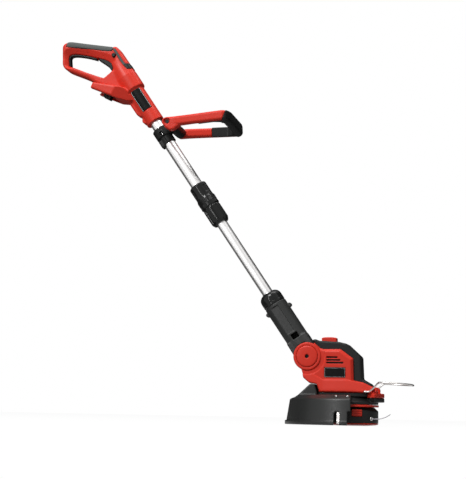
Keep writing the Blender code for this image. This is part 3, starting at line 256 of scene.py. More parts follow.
def boxField(u, v, w, low, high, edge=0.0):
    # the distance to a box between two corners, its edges rounded to a radius
    sizes = [np.abs(k - (a + b) / 2) - (b - a) / 2 + edge for k, a, b in zip((u, v, w), low, high)]
    out = sum(np.maximum(k, 0) ** 2 for k in sizes)
    return np.sqrt(out) + np.minimum(np.maximum(np.maximum(sizes[0], sizes[1]), sizes[2]), 0) - edge


def welded(a, b, fillet=0.0):
    # two solids joined, with a round fillet where they meet
    if not fillet:
        return np.minimum(a, b)
    return np.maximum(fillet, np.minimum(a, b)) - np.hypot(np.maximum(fillet - a, 0), np.maximum(fillet - b, 0))


def carved(a, b, edge=0.0):
    # a without b, with the new edges rounded
    return -welded(-a, b, edge)


def shared(a, b, edge=0.0):
    # what two solids have in common, with the new edges rounded
    return -welded(-a, -b, edge)


def wedgeField(x, y, half):
    # the space between two upright planes through Z, each half degrees from X
    return np.abs(y) * math.cos(math.radians(half)) - x * math.sin(math.radians(half))


def turnedField(outline, x, y, z):
    # a closed outline in radius and height, turned about Z: a table over the radius, read for each point
    radius = np.hypot(x, y)[:, :, 0]
    reach = np.arange(0, radius.max() + 0.6, 0.25, dtype=np.float32)
    table = outlineField(outline, reach[:, None], z.reshape(1, -1))
    place = radius / 0.25
    first = np.minimum(place.astype(int), len(reach) - 2)
    share = (place - first)[:, :, None]
    return (table[first] * (1 - share) + table[first + 1] * share).astype(np.float32)


def skin(field, low, step):
    # one point for each cell that the skin crosses, at the mean of its crossings and then moved down the
    # field's slope on to the skin, and one face for each lattice edge that the skin crosses
    inside = field < 0
    shape = np.array(field.shape)
    offsets = np.array([(i, j, k) for i in (0, 1) for j in (0, 1) for k in (0, 1)])
    views = [tuple(slice(o, n - 1 + o) for o, n in zip(offset, shape)) for offset in offsets]
    total = sum(inside[v].astype(np.int8) for v in views)
    crossed = (total > 0) & (total < 8)
    index = np.full(crossed.shape, -1, np.int64)
    index[crossed] = np.arange(np.count_nonzero(crossed))
    cells = np.argwhere(crossed)
    values = np.stack([field[v][crossed] for v in views], axis=1).astype(float)
    place, count = np.zeros((len(cells), 3)), np.zeros(len(cells))
    for a in range(8):
        for b in range(a + 1, 8):
            if np.abs(offsets[a] - offsets[b]).sum() != 1:
                continue
            cut = (values[:, a] < 0) != (values[:, b] < 0)
            gap = np.where(cut, values[:, a] - values[:, b], 1.0)
            t = np.where(cut, values[:, a] / gap, 0)
            place += cut[:, None] * (offsets[a] + t[:, None] * (offsets[b] - offsets[a]))
            count += cut
    place /= count[:, None]
    signs = np.where(offsets == 1, 1, -1)
    for _ in range(3):
        share = np.where(offsets[None] == 1, place[:, None], 1 - place[:, None])
        level = (values * share.prod(axis=2)).sum(axis=1)
        slope = np.stack([
            (values * signs[:, k] * np.delete(share, k, axis=2).prod(axis=2)).sum(axis=1) for k in range(3)
        ], axis=1)
        move = level[:, None] * slope / np.maximum((slope**2).sum(axis=1), 1e-4)[:, None]
        place = np.clip(place - np.clip(move, -0.4, 0.4), 0.02, 0.98)
    points = np.array([a.ravel()[0] for a in low]) + (cells + place) * step
    faces = []
    for k in range(3):
        u, w = (k + 1) % 3, (k + 2) % 3
        near = [slice(1, None)] * 3
        near[k] = slice(0, -1)
        far = list(near)
        far[k] = slice(1, None)
        a, b = inside[tuple(near)], inside[tuple(far)]
        for first, second, flip in ((a, b, False), (b, a, True)):
            edges = np.argwhere(first & ~second) + np.array([0 if axis == k else 1 for axis in range(3)])
            stepU, stepW = np.eye(3, dtype=int)[u], np.eye(3, dtype=int)[w]
            around = [edges - stepU - stepW, edges - stepW, edges, edges - stepU]
            quad = np.stack([index[tuple(c.T)] for c in around], axis=1)
            faces.append(quad[:, ::-1] if flip else quad)
    return points, [np.concatenate(faces)]


def mirrored(shape):
    # a shape turned over to the other side of the plane of symmetry
    points, faces = shape
    return points * [1, -1, 1], [f[:, ::-1] for f in faces]


# Finishes

class Value:
    # a socket of a material's nodes: sums and products on it add Math nodes, node adds any other
    def __init__(self, tree, socket):
        self.tree, self.socket = tree, socket

    def node(self, kind, settings, inputs, output=0):
        made = self.tree.nodes.new(kind)
        for key, value in settings.items():
            setattr(made, key, value)
        for key, value in inputs.items():
            if isinstance(value, Value):
                self.tree.links.new(value.socket, made.inputs[key])
            else:
                made.inputs[key].default_value = value
        return Value(self.tree, made.outputs[output])

    def maths(self, operation, first, second=0.0):
        return self.node("ShaderNodeMath", {"operation": operation}, {0: first, 1: second})

    def __add__(self, other):
        return self.maths("ADD", self, other)

    def __sub__(self, other):
        return self.maths("SUBTRACT", self, other)

    def __rsub__(self, other):
        return self.maths("SUBTRACT", other, self)

    def __mul__(self, other):
        return self.maths("MULTIPLY", self, other)

    __radd__ = __add__
    __rmul__ = __mul__

    def blend(self, dark, light):
        # this value picks a colour between two
        inputs = {"Factor": self, 6: (*dark, 1), 7: (*light, 1)}
        return self.node("ShaderNodeMix", {"data_type": "RGBA"}, inputs, 2)


def finishOf(name, roughness, metallic=0.0, shine=0.5):
    # an empty material: its shader, and the place on the object that its patterns are read from
    material = bpy.data.materials.new(name)
    material.use_nodes = True
    tree = material.node_tree
    shader = tree.nodes["Principled BSDF"]
    shader.inputs["Roughness"].default_value = roughness
    shader.inputs["Metallic"].default_value = metallic
    shader.inputs["Specular IOR Level"].default_value = shine
    place = Value(tree, tree.nodes.new("ShaderNodeTexCoord").outputs["Object"])
    return material, shader, place


def noise(place, scale, detail=2.0, stretch=(1, 1, 1), turn=(0, 0, 0)):
    # a soft noise on the object, turned and then stretched where that is asked for
    if stretch != (1, 1, 1) or turn != (0, 0, 0):
        place = place.node("ShaderNodeMapping", {"vector_type": "TEXTURE"}, {"Vector": place, "Rotation": turn})
        place = place.node("ShaderNodeMapping", {}, {"Vector": place, "Scale": stretch})
    return place.node("ShaderNodeTexNoise", {}, {"Vector": place, "Scale": scale, "Detail": detail})


def wire(place, shader, colour=None, roughness=None, height=None, depth=0.0):
    # links what changes over the surface to the shader
    tree = place.tree
    if colour is not None:
        tree.links.new(colour.socket, shader.inputs["Base Color"])
    if roughness is not None:
        tree.links.new(roughness.socket, shader.inputs["Roughness"])
    if height is not None:
        bump = place.node("ShaderNodeBump", {}, {"Height": height, "Strength": 1.0, "Distance": depth})
        tree.links.new(bump.socket, shader.inputs["Normal"])


def mouldedPlastic(name, colour, roughness, grain, spread, shine):
    # fine spark-eroded grain, with a slow drift of tone and gloss
    material, shader, place = finishOf(name, roughness, shine=shine)
    slow, fine = noise(place, 38, 3), noise(place, 2600, 2)
    dark = tuple(c * (1 - spread) for c in colour)
    light = tuple(c * (1 + spread) for c in colour)
    wire(place, shader, slow.blend(dark, light), slow * 0.1 + fine * 0.06 + (roughness - 0.08), fine, grain)
    return material


def softRubber(name, colour):
    # a matt overmould with small raised dots
    material, shader, place = finishOf(name, 0.7, shine=0.3)
    cells = place.node("ShaderNodeTexVoronoi", {"feature": "F1"}, {"Vector": place, "Scale": 620})
    slow, fine = noise(place, 60, 3), noise(place, 3000, 1)
    tone = slow.blend(tuple(c * 0.86 for c in colour), tuple(c * 1.12 for c in colour))
    wire(place, shader, tone, 0.62 + slow * 0.14, fine * 0.4 + cells * -0.6, 0.00008)
    return material


def drawnMetal(name, colour, roughness, stretch, turn, streak, depth):
    # metal with long fine lines from drawing or brushing, along its local Z
    material, shader, place = finishOf(name, roughness, 1.0)
    lines = noise(place, 1.0, 4, stretch, turn)
    cloud = noise(place, 26, 2)
    dark, light = tuple(c * 0.86 for c in colour), tuple(min(1, c * 1.08) for c in colour)
    tone = (lines * 0.7 + cloud * 0.3).blend(dark, light)
    wire(place, shader, tone, lines * streak + cloud * 0.06 + (roughness - 0.11), lines, depth)
    return material


def platedSteel(name, colour, roughness):
    # bright plating, a little cloudy and very finely rough
    material, shader, place = finishOf(name, roughness, 1.0)
    cloud, fine = noise(place, 120, 3), noise(place, 1800, 2)
    tone = cloud.blend(tuple(c * 0.84 for c in colour), tuple(min(1, c * 1.1) for c in colour))
    wire(place, shader, tone, cloud * 0.16 + (roughness - 0.08), fine, 0.00001)
    return material


def printedInk(name, colour):
    # matt ink with a fine speckle
    material, shader, place = finishOf(name, 0.5)
    speck = noise(place, 900, 2)
    wire(place, shader, speck.blend(tuple(c * 0.88 for c in colour), colour), 0.45 + speck * 0.12)
    return material


def drawnLine(name, colour):
    # clear nylon, with faint rings along its length
    material, shader, place = finishOf(name, 0.3)
    rings, cloud = noise(place, 2200, 1), noise(place, 150, 2)
    tone = cloud.blend(tuple(c * 0.8 for c in colour), colour)
    wire(place, shader, tone, 0.24 + cloud * 0.15, rings, 0.00002)
    return material


tint = dict(
    red=(0.60, 0.032, 0.017), black=(0.009, 0.0095, 0.0092), grey=(0.062, 0.068, 0.065),
    tube=(0.86, 0.85, 0.845), steel=(0.52, 0.50, 0.485), line=(0.48, 0.46, 0.50), ink=(0.62, 0.64, 0.64),
)
poleLean = math.atan2(-poleWay[0], poleWay[2])


def paler(name, share):
    # a tint times a number
    return tuple(c * share for c in tint[name])


looks = dict(
    red=mouldedPlastic("redPlastic", tint["red"], 0.38, 0.00002, 0.05, 0.16),
    black=mouldedPlastic("blackPlastic", tint["black"], 0.42, 0.00002, 0.14, 0.16),
    gloss=mouldedPlastic("glossBlackPlastic", tint["black"], 0.13, 0.000002, 0.1, 0.22),
    casing=mouldedPlastic("casingPlastic", paler("black", 1.7), 0.44, 0.00002, 0.12, 0.35),
    plate=mouldedPlastic("platePlastic", paler("black", 0.6), 0.4, 0.000005, 0.1, 0.06),
    shield=mouldedPlastic("shieldPlastic", paler("black", 1.5), 0.36, 0.00002, 0.12, 0.3),
    soft=softRubber("softGrip", tint["grey"]),
    tube=drawnMetal("drawnAluminium", tint["tube"], 0.32, (900, 900, 6), (0, -poleLean, 0), 0.04, 0.0000005),
    steel=platedSteel("platedSteel", tint["steel"], 0.26),
    line=drawnLine("nylonLine", tint["line"]),
    ink=printedInk("lightInk", tint["ink"]),
)
slots = dict.fromkeys(("black", "gloss", "casing", "plate", "shield", "ink"), "black_plastic")
slots.update(red="red_plastic", soft="soft_grip", tube="aluminium_tube", steel="steel", line="nylon_line")


def makePiece(name, shape, look, body, nodes=(), axes=worldAxes, sharp=42.0, turnOut=True):
    # a shape put into a mesh in the frame's own place, with its finish, riding on a body
    points, faces = shape
    origin, turn = axes
    placed = (origin + np.asarray(points, float) @ turn) * mm
    sizes = np.concatenate([np.full(len(f), f.shape[1]) for f in faces])
    corners = np.concatenate([f.ravel() for f in faces])
    mesh = bpy.data.meshes.new(name)
    mesh.vertices.add(len(placed))
    mesh.vertices.foreach_set("co", placed.astype(np.float32).ravel())
    mesh.loops.add(len(corners))
    mesh.loops.foreach_set("vertex_index", corners.astype(np.int32))
    mesh.polygons.add(len(sizes))
    mesh.polygons.foreach_set("loop_start", (np.cumsum(sizes) - sizes).astype(np.int32))
    mesh.update(calc_edges=True)
    mesh.validate()
    if turnOut:
        build = bmesh.new()
        build.from_mesh(mesh)
        bmesh.ops.recalc_face_normals(build, faces=build.faces)
        build.to_mesh(mesh)
        build.free()
    mesh.shade_smooth()
    mesh.set_sharp_from_angle(angle=math.radians(sharp))
    piece = bpy.data.objects.new(name, mesh)
    bpy.context.scene.collection.objects.link(piece)
    mesh.materials.append(looks[look])
    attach(piece, body)
    if nodes:
        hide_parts(*([nodes] if isinstance(nodes, str) else nodes))
    return piece


def castPiece(name, field, low, look, body, nodes=(), axes=worldAxes, flip=False):
    # the skin of a field as a piece; flip puts it on the other side of the plane of symmetry
    step = float(low[0].ravel()[1] - low[0].ravel()[0])
    shape = skin(np.broadcast_to(field, np.broadcast_shapes(*(a.shape for a in low))), low, step)
    shape = mirrored(shape) if flip else shape
    return makePiece(name, shape, look, body, nodes, axes, sharp=180, turnOut=False)


# Camera and cutting line

camera = dict(place=(297.3, -2444.9, 16.7), yaw=-12.482, pitch=8.012, roll=1.14, lens=93.49, film=36.0)


def makeCamera():
    # the view direction from yaw and pitch, then the picture's axes turned about it by the roll
    yaw, pitch, roll = (math.radians(camera[k]) for k in ("yaw", "pitch", "roll"))
    view = np.array([math.sin(yaw) * math.cos(pitch), math.cos(yaw) * math.cos(pitch), math.sin(pitch)])
    side = np.cross(view, [0, 0, 1])
    side /= np.linalg.norm(side)
    up = np.cross(side, view)
    across = math.cos(roll) * side + math.sin(roll) * up
    upright = -math.sin(roll) * side + math.cos(roll) * up
    data = bpy.data.cameras.new("camera")
    data.lens, data.sensor_fit = camera["lens"], "VERTICAL"
    data.sensor_height = data.sensor_width = camera["film"]
    data.clip_start, data.clip_end = 0.05, 60
    eye = bpy.data.objects.new("camera", data)
    turn = Matrix(np.column_stack([across, upright, -view]).tolist()).to_4x4()
    eye.matrix_world = Matrix.Translation(Vector(camera["place"]) * mm) @ turn
    bpy.context.scene.collection.objects.link(eye)
    bpy.context.scene.camera = eye


cuttingLine = dict(
    route=[
        (42.9, -32.3, 13.7), (45.3, -34.1, 13.7), (47.8, -35.9, 13.6), (51.2, -37.9, 13.5), (55.0, -39.8, 13.6),
        (59.0, -41.5, 14.0), (63.0, -43.0, 14.8), (66.9, -44.2, 16.0), (70.6, -45.2, 17.5), (74.0, -45.9, 19.2),
        (77.1, -46.3, 21.2), (79.8, -46.5, 23.3),
    ],
    diameter=1.6,
)


def makeCuttingLine():
    # a circle carried along a curve through the route's points
    route = smoothRoute(cuttingLine["route"], 4)
    shape = sweep(route, cuttingLine["diameter"] / 2, 16)
    piece = makePiece("trimmerLine", shape, "line", "spool", "cutting_line")


makeCamera()
makeCuttingLine()


# The rear handle, in axes with X to the pole's front, Z up the tube and 0 at the barrel's open end

handle = dict(
    step=0.95, half=15.5, edge=8.0, seam=0.15, gap=0.3,
    outline=[
        (18.9, 82), (22.4, 87), (22.4, 140), (21.9, 178), (19.4, 188.2), (11.4, 192), (-26.8, 227.7),
        (-56.4, 256.7), (-68.2, 261.9), (-76.4, 259.7), (-98.2, 225.5), (-99.2, 217), (-94.8, 203.5),
        (-67.5, 162.5), (-60, 143), (-14, 84),
    ],
    barrel=[(-9, 0), (17.4, 0), (19, 1.6), (19, 82), (22.5, 86), (22.5, 118), (15.8, 160), (-9, 162)],
    keel=[(-10, 26), (-19, 26), (-23.6, 34), (-24, 62), (-24, 90), (-10, 90)],
    shoe=[(-60.5, 143.3), (-71.8, 135.7), (-39.5, 87), (-24, 70.5), (-13, 64.5), (-10, 74), (-12.5, 94.6)],
    shoeHalf=37.0, shoeWay=(0.496, -0.868), shoeUp=(0.868, 0.496),
    loopPath=[(-31.5, 190.5), (-45, 206.6), (-61, 222.3), (-71, 229), (-76.4, 228), (-80.6, 221), (-85, 213)],
    loopFront=[
        (-64.9, 179.4), (-42.4, 148.4), (-37, 144.6), (-28, 145.2), (-18, 146.6), (-11, 152.4),
        (-10.3, 165.6), (-16.3, 177.5),
    ],
    liner=3.0, lobe=(-14.5, 14.5), bore=12.8, grasp=54.3,
    slimReach=14.0, slimLine=((-85.0, 208.0), (0.647, 0.762)), slimDepth=(6.0, 8.3), slimTo=(-25.0, 12.0),
    switch=(1.0, 13.0, 130.0, 161.0), switchHalf=9.0, channel=(8.0, 20.0, 131.0), hollowHalf=10.0,
    shoeRoom=[
        # the battery's space, its rail slots and the way in for the terminals: two corners and an edge radius
        ((-20, -12, -27), (54, 9, 27), 1.0),
        ((-20, 4, -31), (52, 8.5, 31), 0.5),
        ((20, 5, -12), (44, 30, 12), 0.0),
    ],
    hollow=[(-20, 206), (-29, 216), (-60, 245), (-64, 240), (-34, 210), (-26, 201)],
    screws=[(-87.5, 238.0), (-80.0, 189.5), (-31.0, 131.0)], screwRadius=3.0,
)
pad = dict(outline=[
    (-56, 256.5), (-26, 229.3), (12.6, 191.8), (12, 185), (6, 183.5), (-6.4, 193.2), (-29.6, 215.4),
    (-66.5, 248.2), (-69.2, 252.4), (-62, 259.8),
], proud=0.8)
inlay = dict(outline=[
    (10.4, 185), (10.4, 145), (13, 129), (22.9, 126.5), (22.9, 139), (17, 140.5), (15.5, 146), (15.5, 184),
], proud=0.8, deep=1.4, split=139.0)
trigger = dict(
    outline=[
        (-28.5, 187.5), (-22.5, 173), (-18.2, 161), (-17.6, 151), (-15.6, 149.4), (-12.8, 150), (-7, 163),
        (-5.4, 178), (-7, 189.5), (-12, 193.4), (-18, 193.2),
    ],
    slot=[
        (-31, 188.5), (-22, 172), (-15, 162), (-17, 147), (-2.4, 146), (0.2, 163), (0.2, 187.5), (-4, 194.2),
        (-13, 196.5), (-25, 194),
    ],
    pivot=(-12.0, 187.5), pin=2.5, half=8.0,
)
lockButton = dict(place=(5.4, 172.3), radius=4.2, travel=4.0)
rearPlate = dict(radius=19.0, angle=-82.0, spread=35.0, foot=29.5, top=80.5)


def handleBody(x, y, z):
    # the grip loop, which slims down towards the hand hole from above and behind, with the barrel, its collar,
    # the keel and the lobe welded on
    (lineX, lineZ), (wayX, wayZ) = handle["slimLine"]
    (least, most), (toX, over) = handle["slimDepth"], handle["slimTo"]
    near = np.clip(1 - gripHole(x, z) / handle["slimReach"], 0, 1)
    above = np.clip(((x - lineX) * wayX + (z - lineZ) * wayZ + 4) / 8, 0, 1)
    slim = near * above * np.clip(least - (most - least) * (x - toX) / over, least, most)
    loop = slabField(outlineField(softened(handle["outline"], 9), x, z), np.abs(y) + slim, -handle["half"],
                     handle["half"], handle["edge"])
    barrel = turnedField(handle["barrel"], x, y, z)
    keel = slabField(outlineField(softened(handle["keel"], 4), x, z), y, -11, 11, 4)
    lobe = rodField(x - handle["lobe"][0], z - handle["lobe"][1], y, 7.2, -11, 11, 2)
    return welded(welded(welded(loop, barrel, 3), keel, 3), lobe, 2)


def shoeBody(x, y, z):
    # as wide as the battery, and narrower from its middle to the barrel
    half = handle["shoeHalf"]
    body = chamferSlab(outlineField(softened(handle["shoe"], 3), x, z), y, -half, half, 2.6, 1.6)
    along = shoePlace(x, z)[0]
    narrow = half - 0.5 * np.maximum(along - 48, 0)
    return shared(body, (np.abs(y) - narrow) * 0.9, 1.6)


def shoePlace(x, z):
    # how far a point is along the shoe from its lower rear corner, and above that corner
    corner, (wayX, wayZ), (upX, upZ) = handle["shoe"][1], handle["shoeWay"], handle["shoeUp"]
    return (x - corner[0]) * wayX + (z - corner[1]) * wayZ, (x - corner[0]) * upX + (z - corner[1]) * upZ


def gripHole(x, z):
    # the hand hole: the lining's path moved in by its thickness, closed by a curve in front
    path = beside(smoothRoute(handle["loopPath"], 6), -(handle["liner"] + handle["gap"]))
    front = smoothRoute(handle["loopFront"], 4)
    return outlineField(np.concatenate([path, front]), x, z)


def inlayPatch(body, x, y, z, extra=0.0):
    # a skin of the handle's own body, inside the stripe's outline on the sides and the bridge over its front
    flat = outlineField(softened(inlay["outline"], 2), x, z)
    bridge = outlineField([(17, 126.5), (28, 126.5), (28, 139), (17, 139)], x, z)
    region = welded(np.maximum(flat, 9.5 - np.abs(y)), bridge)
    layer = shared(body - inlay["proud"] - extra, -(body + inlay["deep"] + extra), 0.6)
    return shared(layer, region - extra, 0.6)


def makeHandle():
    # both halves: the body and the shoe in one field, less the hand hole, the seats and the bores, cut at the
    # seam; the right half is made on the left and turned over
    x, y, z = low = lattice((-101, 0, -1), (24, 38, 265), handle["step"])
    gap, pin, lock = handle["gap"], trigger["pivot"], lockButton["place"]
    body = handleBody(x, y, z)
    shell = welded(body, shoeBody(x, y, z), 4)
    shell = carved(shell, gripHole(x, z), 2.5)
    shell = carved(shell, outlineField(pad["outline"], x, z) - gap, 0.5)
    shell = carved(shell, inlayPatch(body, x, y, z, 0.25), 0.2)
    shell = carved(shell, rodField(x, y, z, handle["bore"], -10, handle["grasp"]), 1.2)
    shell = carved(shell, rodField(x, y, z, *handle["channel"]))
    front, back, foot, top = handle["switch"]
    side = handle["switchHalf"] + gap
    shell = carved(shell, boxField(x, y, z, (front - gap, -side, foot - gap), (back + gap, side, top + gap)))
    shell = carved(shell, np.maximum(outlineField(trigger["slot"], x, z), y - trigger["half"] - 0.6), 0.8)
    shell = carved(shell, rodField(x - pin[0], z - pin[1], y, trigger["pin"] + gap, -11.8, 11.8))
    shell = carved(shell, np.hypot(x - lock[0], z - lock[1]) - lockButton["radius"] - gap, 0.8)
    shell = carved(shell, np.maximum(outlineField(handle["hollow"], x, z), y - handle["hollowHalf"]))
    along, up = shoePlace(x, z)
    for first, last, edge in handle["shoeRoom"]:
        shell = carved(shell, boxField(along, up, y, first, last, edge), edge)
    shell = np.maximum(shell, handle["seam"] - y)
    drilled = shell
    for at in handle["screws"]:
        wide = rodField(x - at[0], z - at[1], y, handle["screwRadius"] + gap, handle["half"] - 4, 60)
        thin = rodField(x - at[0], z - at[1], y, handle["screwRadius"] * 0.5 + gap, -1, 60)
        drilled = carved(drilled, welded(wide, thin), 0.5)
        shell = carved(shell, rodField(x - at[0], z - at[1], y, handle["screwRadius"] * 0.5 + gap, -1, 9))
    castPiece("handleShellLeft", drilled, low, "red", "handle", "handle_shell_left", handleAxes)
    spread = math.radians(rearPlate["spread"] + 3)
    angle = np.arctan2(y, x) - math.radians(-rearPlate["angle"])
    depth = np.hypot(x, y) - rearPlate["radius"] + 0.7
    seat = boxField(angle * rearPlate["radius"] + 0 * z, depth + 0 * z, z + 0 * depth,
                    (-spread * rearPlate["radius"], 0, rearPlate["foot"] - 1),
                    (spread * rearPlate["radius"], 20, rearPlate["top"] + 1), 0.6)
    castPiece("handleShellRight", carved(shell, seat, 0.4), low, "red", "handle", "handle_shell_right",
              handleAxes, True)
    print("handle shells made")

    x, y, z = low = lattice((-70, -17.5, 186), (14, 17.5, 265), 0.8)
    flat = outlineField(softened(pad["outline"], 2), x, z)
    grip = shared(handleBody(x, y, z) - pad["proud"], flat, 0.9)
    castPiece("topGrip", grip, low, "soft", "handle", "top_grip", handleAxes)
    x, y, z = low = lattice((-87, -10, 187), (-27, 10, 234), 0.6)
    path = smoothRoute(handle["loopPath"], 6)
    flat = outlineField(np.concatenate([path, beside(path, -handle["liner"])[::-1]]), x, z)
    castPiece("loopLiner", slabField(flat, y, -7.2, 7.2, 1), low, "black", "handle", "loop_liner", handleAxes)
    x, y, z = low = lattice((8, -17.5, 124), (25, 17.5, 187), 0.6)
    patch = inlayPatch(handleBody(x, y, z), x, y, z)
    split = z - 0.12 * x - inlay["split"] + 0 * y
    castPiece("shoulderStripe", shared(patch, 0.1 - split, 0.3), low, "soft", "handle", "shoulder_inlay",
              handleAxes)
    castPiece("shoulderCap", shared(patch, split + 0.1, 0.3), low, "black", "handle", (), handleAxes)
    for k, at in enumerate(handle["screws"]):
        place = axesAt(handleAxes, (at[0], handle["half"] - 4 + gap, at[1]), (0, 1, 0))
        makePiece(f"handleScrew{k + 1}", screwShape(handle["screwRadius"], 18, 2.4, 1.5), "steel", "handle",
                  f"handle_screw_{k + 1}", place)

    # the bare name plate: a flat plate bent round the barrel, with a fine raised border
    across = math.radians(rearPlate["spread"]) * rearPlate["radius"]
    middle = (rearPlate["foot"] + rearPlate["top"]) / 2
    tall = (rearPlate["top"] - rearPlate["foot"]) / 2
    u, w, v = low = lattice((-across, -0.5, -tall), (across, 0.5, tall), 0.45)
    flat = boxField(u, v, 0 * u, (-across, -tall, -1), (across, tall, 1), 1.2)
    points, faces = skin(slabField(flat, w, -0.4, 0.5, 0.3), low, 0.45)
    border = softened([(1.6 - across, 1.6 - tall), (across - 1.6, 1.6 - tall), (across - 1.6, tall - 1.6),
                       (1.6 - across, tall - 1.6)], 1)
    rim = np.insert(looped(border), 1, 0.5, axis=1)
    for name, look, nodes, (points, faces) in (
        ("rearNamePlate", "plate", "rear_plate", (points, faces)),
        ("rearPlateBorder", "ink", (), sweep(rim, 0.3, 8, (0, 1, 0))),
    ):
        angle = math.radians(rearPlate["angle"]) + points[:, 0] / rearPlate["radius"]
        reach = rearPlate["radius"] + points[:, 1]
        bent = np.stack([reach * np.cos(angle), reach * np.sin(angle), middle + points[:, 2]], axis=1)
        makePiece(name, (bent, faces), look, "handle", nodes, handleAxes, 60)

    x, y, z = low = lattice((-30, -12, 147), (-3, 12, 195), 0.6)
    flat = outlineField(softened(trigger["outline"], 2.5), x, z)
    lever = slabField(flat, y, -trigger["half"], trigger["half"], 2.4)
    lever = welded(lever, rodField(x - pin[0], z - pin[1], y, trigger["pin"], -11.5, 11.5, 0.4), 0.5)
    castPiece("triggerLever", lever, low, "black", "trigger", "trigger", handleAxes)
    end = handle["half"] + lockButton["travel"] - 0.5
    radius = lockButton["radius"]
    line = profileOf([(0, -15, 0), (radius - 1, -15, 0.6), (radius, -14, 0.6), (radius, end - 1.2, 1),
                      (radius - 1.2, end, 1), (0, end - 0.5, 0)])
    makePiece("lockOffButton", lathe(line, 40), "black", "lock_button", "lock_button",
              axesAt(handleAxes, (lock[0], 0, lock[1]), (0, -1, 0)))
    print("rear handle made")


makeHandle()


# The pole: tubes and the twist lock, in axes with Z up the pole and 0 at the tilt axis

pole = dict(
    upper=(12.5, 372.3, 640.0), lower=(11.0, 92.0, 470.0), wall=1.2,
    sleeveFoot=368.0, sleeveTop=422.0, ringTop=392.0, sleeveRadius=18.4, ringRadius=20.2,
    nutFoot=327.0, nutTop=367.7, nutRadius=19.0, ribs=12, ribDepth=1.3,
)


def makePole():
    # turned profiles, whose radius also changes with the angle on the sleeve and the nut
    for name, node, body, (radius, foot, top) in (
        ("upperTube", "upper_tube", "handle", pole["upper"]),
        ("lowerTube", "lower_tube", "lower_pole", pole["lower"]),
    ):
        inner = radius - pole["wall"]
        middle = np.linspace(foot + 1, top - 1, 24)
        outside = [(radius, k) for k in middle]
        inside = [(inner, k) for k in middle[::-1]]
        line = [(inner + 0.2, foot), (radius - 0.2, foot), *outside, (radius - 0.2, top), (inner + 0.2, top),
                *inside]
        makePiece(name, lathe(line, 96), "tube", body, node, poleAxes)

    foot, top, ring = pole["sleeveFoot"], pole["sleeveTop"], pole["ringTop"]
    outer, wide = pole["sleeveRadius"], pole["ringRadius"]
    fine = [(wide - (0.55 if k % 2 else 0), ring - 6 - 1.0 * k, 0.25) for k in range(9, -1, -1)]
    line = profileOf([
        (12.8, top - 0.4, 0.3), (12.8, 372, 0.3), (11.3, 372, 0.3), (11.3, foot, 0.3), (wide - 1.6, foot, 0.5),
        (wide, foot + 2, 0.6), *fine, (wide, ring - 5, 0.6), (outer + 0.2, ring - 0.6, 0.8),
        *[(outer, k, 1) for k in (ring + 4, ring + 6, ring + 8, top - 10, top - 8)], (outer, top - 2, 1.2),
        (outer - 2, top, 0.8),
    ], True, 4)

    def flutes(angle, height):
        # four shallow grooves along the sleeve, with soft ends
        near = np.abs(np.mod(angle, math.pi / 2) - math.pi / 4) * outer
        across = np.clip((3.4 - near) / 0.8, 0, 1)
        along = np.clip((height - ring - 5.5) / 2, 0, 1) * np.clip((top - 7.5 - height) / 2, 0, 1)
        return -1.0 * across * along * (height > ring) * (line[:, 0] > outer - 0.2)[:, None]

    makePiece("lockSleeve", lathe(line, 144, flutes), "gloss", "handle", "sleeve_body", poleAxes)

    foot, top, radius = pole["nutFoot"], pole["nutTop"], pole["nutRadius"]
    side = [(radius, k, 0.4) for k in np.linspace(foot + 7, top - 3, 9)]
    line = profileOf([
        (11.3, foot + 6, 0.4), (11.3, foot, 0.4), (radius - 3.2, foot, 0.8), (radius, foot + 6, 1.4), *side,
        (radius - 0.8, top, 0.6), (15.2, top, 0.3), (15.2, foot + 6, 0.3),
    ], True, 3)

    def ribs(angle, height):
        # a soft-edged wave of raised ribs that dies out at both ends
        wave = np.clip(0.5 + 1.6 * np.cos(angle * pole["ribs"]), 0, 1)
        along = np.clip((height - foot - 2) / 4, 0, 1) * np.clip((top - 1 - height) / 2.5, 0, 1)
        return -pole["ribDepth"] * (1 - wave) * along * (line[:, 0] > 17)[:, None]

    makePiece("twistNut", lathe(line, 192, ribs), "gloss", "twist_nut", "twist_nut", poleAxes)
    print("pole made")


makePole()


# The loop handle and its clamp

loop = dict(
    hinge=(26.9, 552.5), hub=11.5, clamp=18.0, below=21.5, above=16.5, pin=4.0, half=65.5, inner=48.0,
    low=-10.5, high=10.0,
    grip=[
        (115, 50), (110, 60), (98, 65), (65, 59.7), (65, 63), (100, 70.5), (112, 73), (124, 73), (130, 62),
        (132.4, 50),
    ],
    corner=[(100, 66), (112, 50), (132.4, 50), (132, 60), (129.5, 70), (125, 78), (119, 81.5), (104, 79)],
    end=(122.0, 79.0), endTurn=0.195, endLean=0.42,
    leg=[
        (-14, 48), (14, 48), (112, 68.6), (131, 60), (129.5, 70), (125, 78), (118.6, 81.5), (14, 65.5),
        (-14, 65.5),
    ],
    lobe=[(-9, -3), (-4, -13.5), (6, -19.5), (14, -19), (19, -15), (27, -10.3), (27, -5)],
    inside=[(64.7, 40), (64.7, 61.5), (98, 67), (98, 40)],
)


def legEnd(x, y, z):
    # the slanted plane where a leg meets the soft corner
    endX, endY = loop["end"]
    return (x - endX - loop["endLean"] * z - loop["endTurn"] * (y - endY)) * 0.9


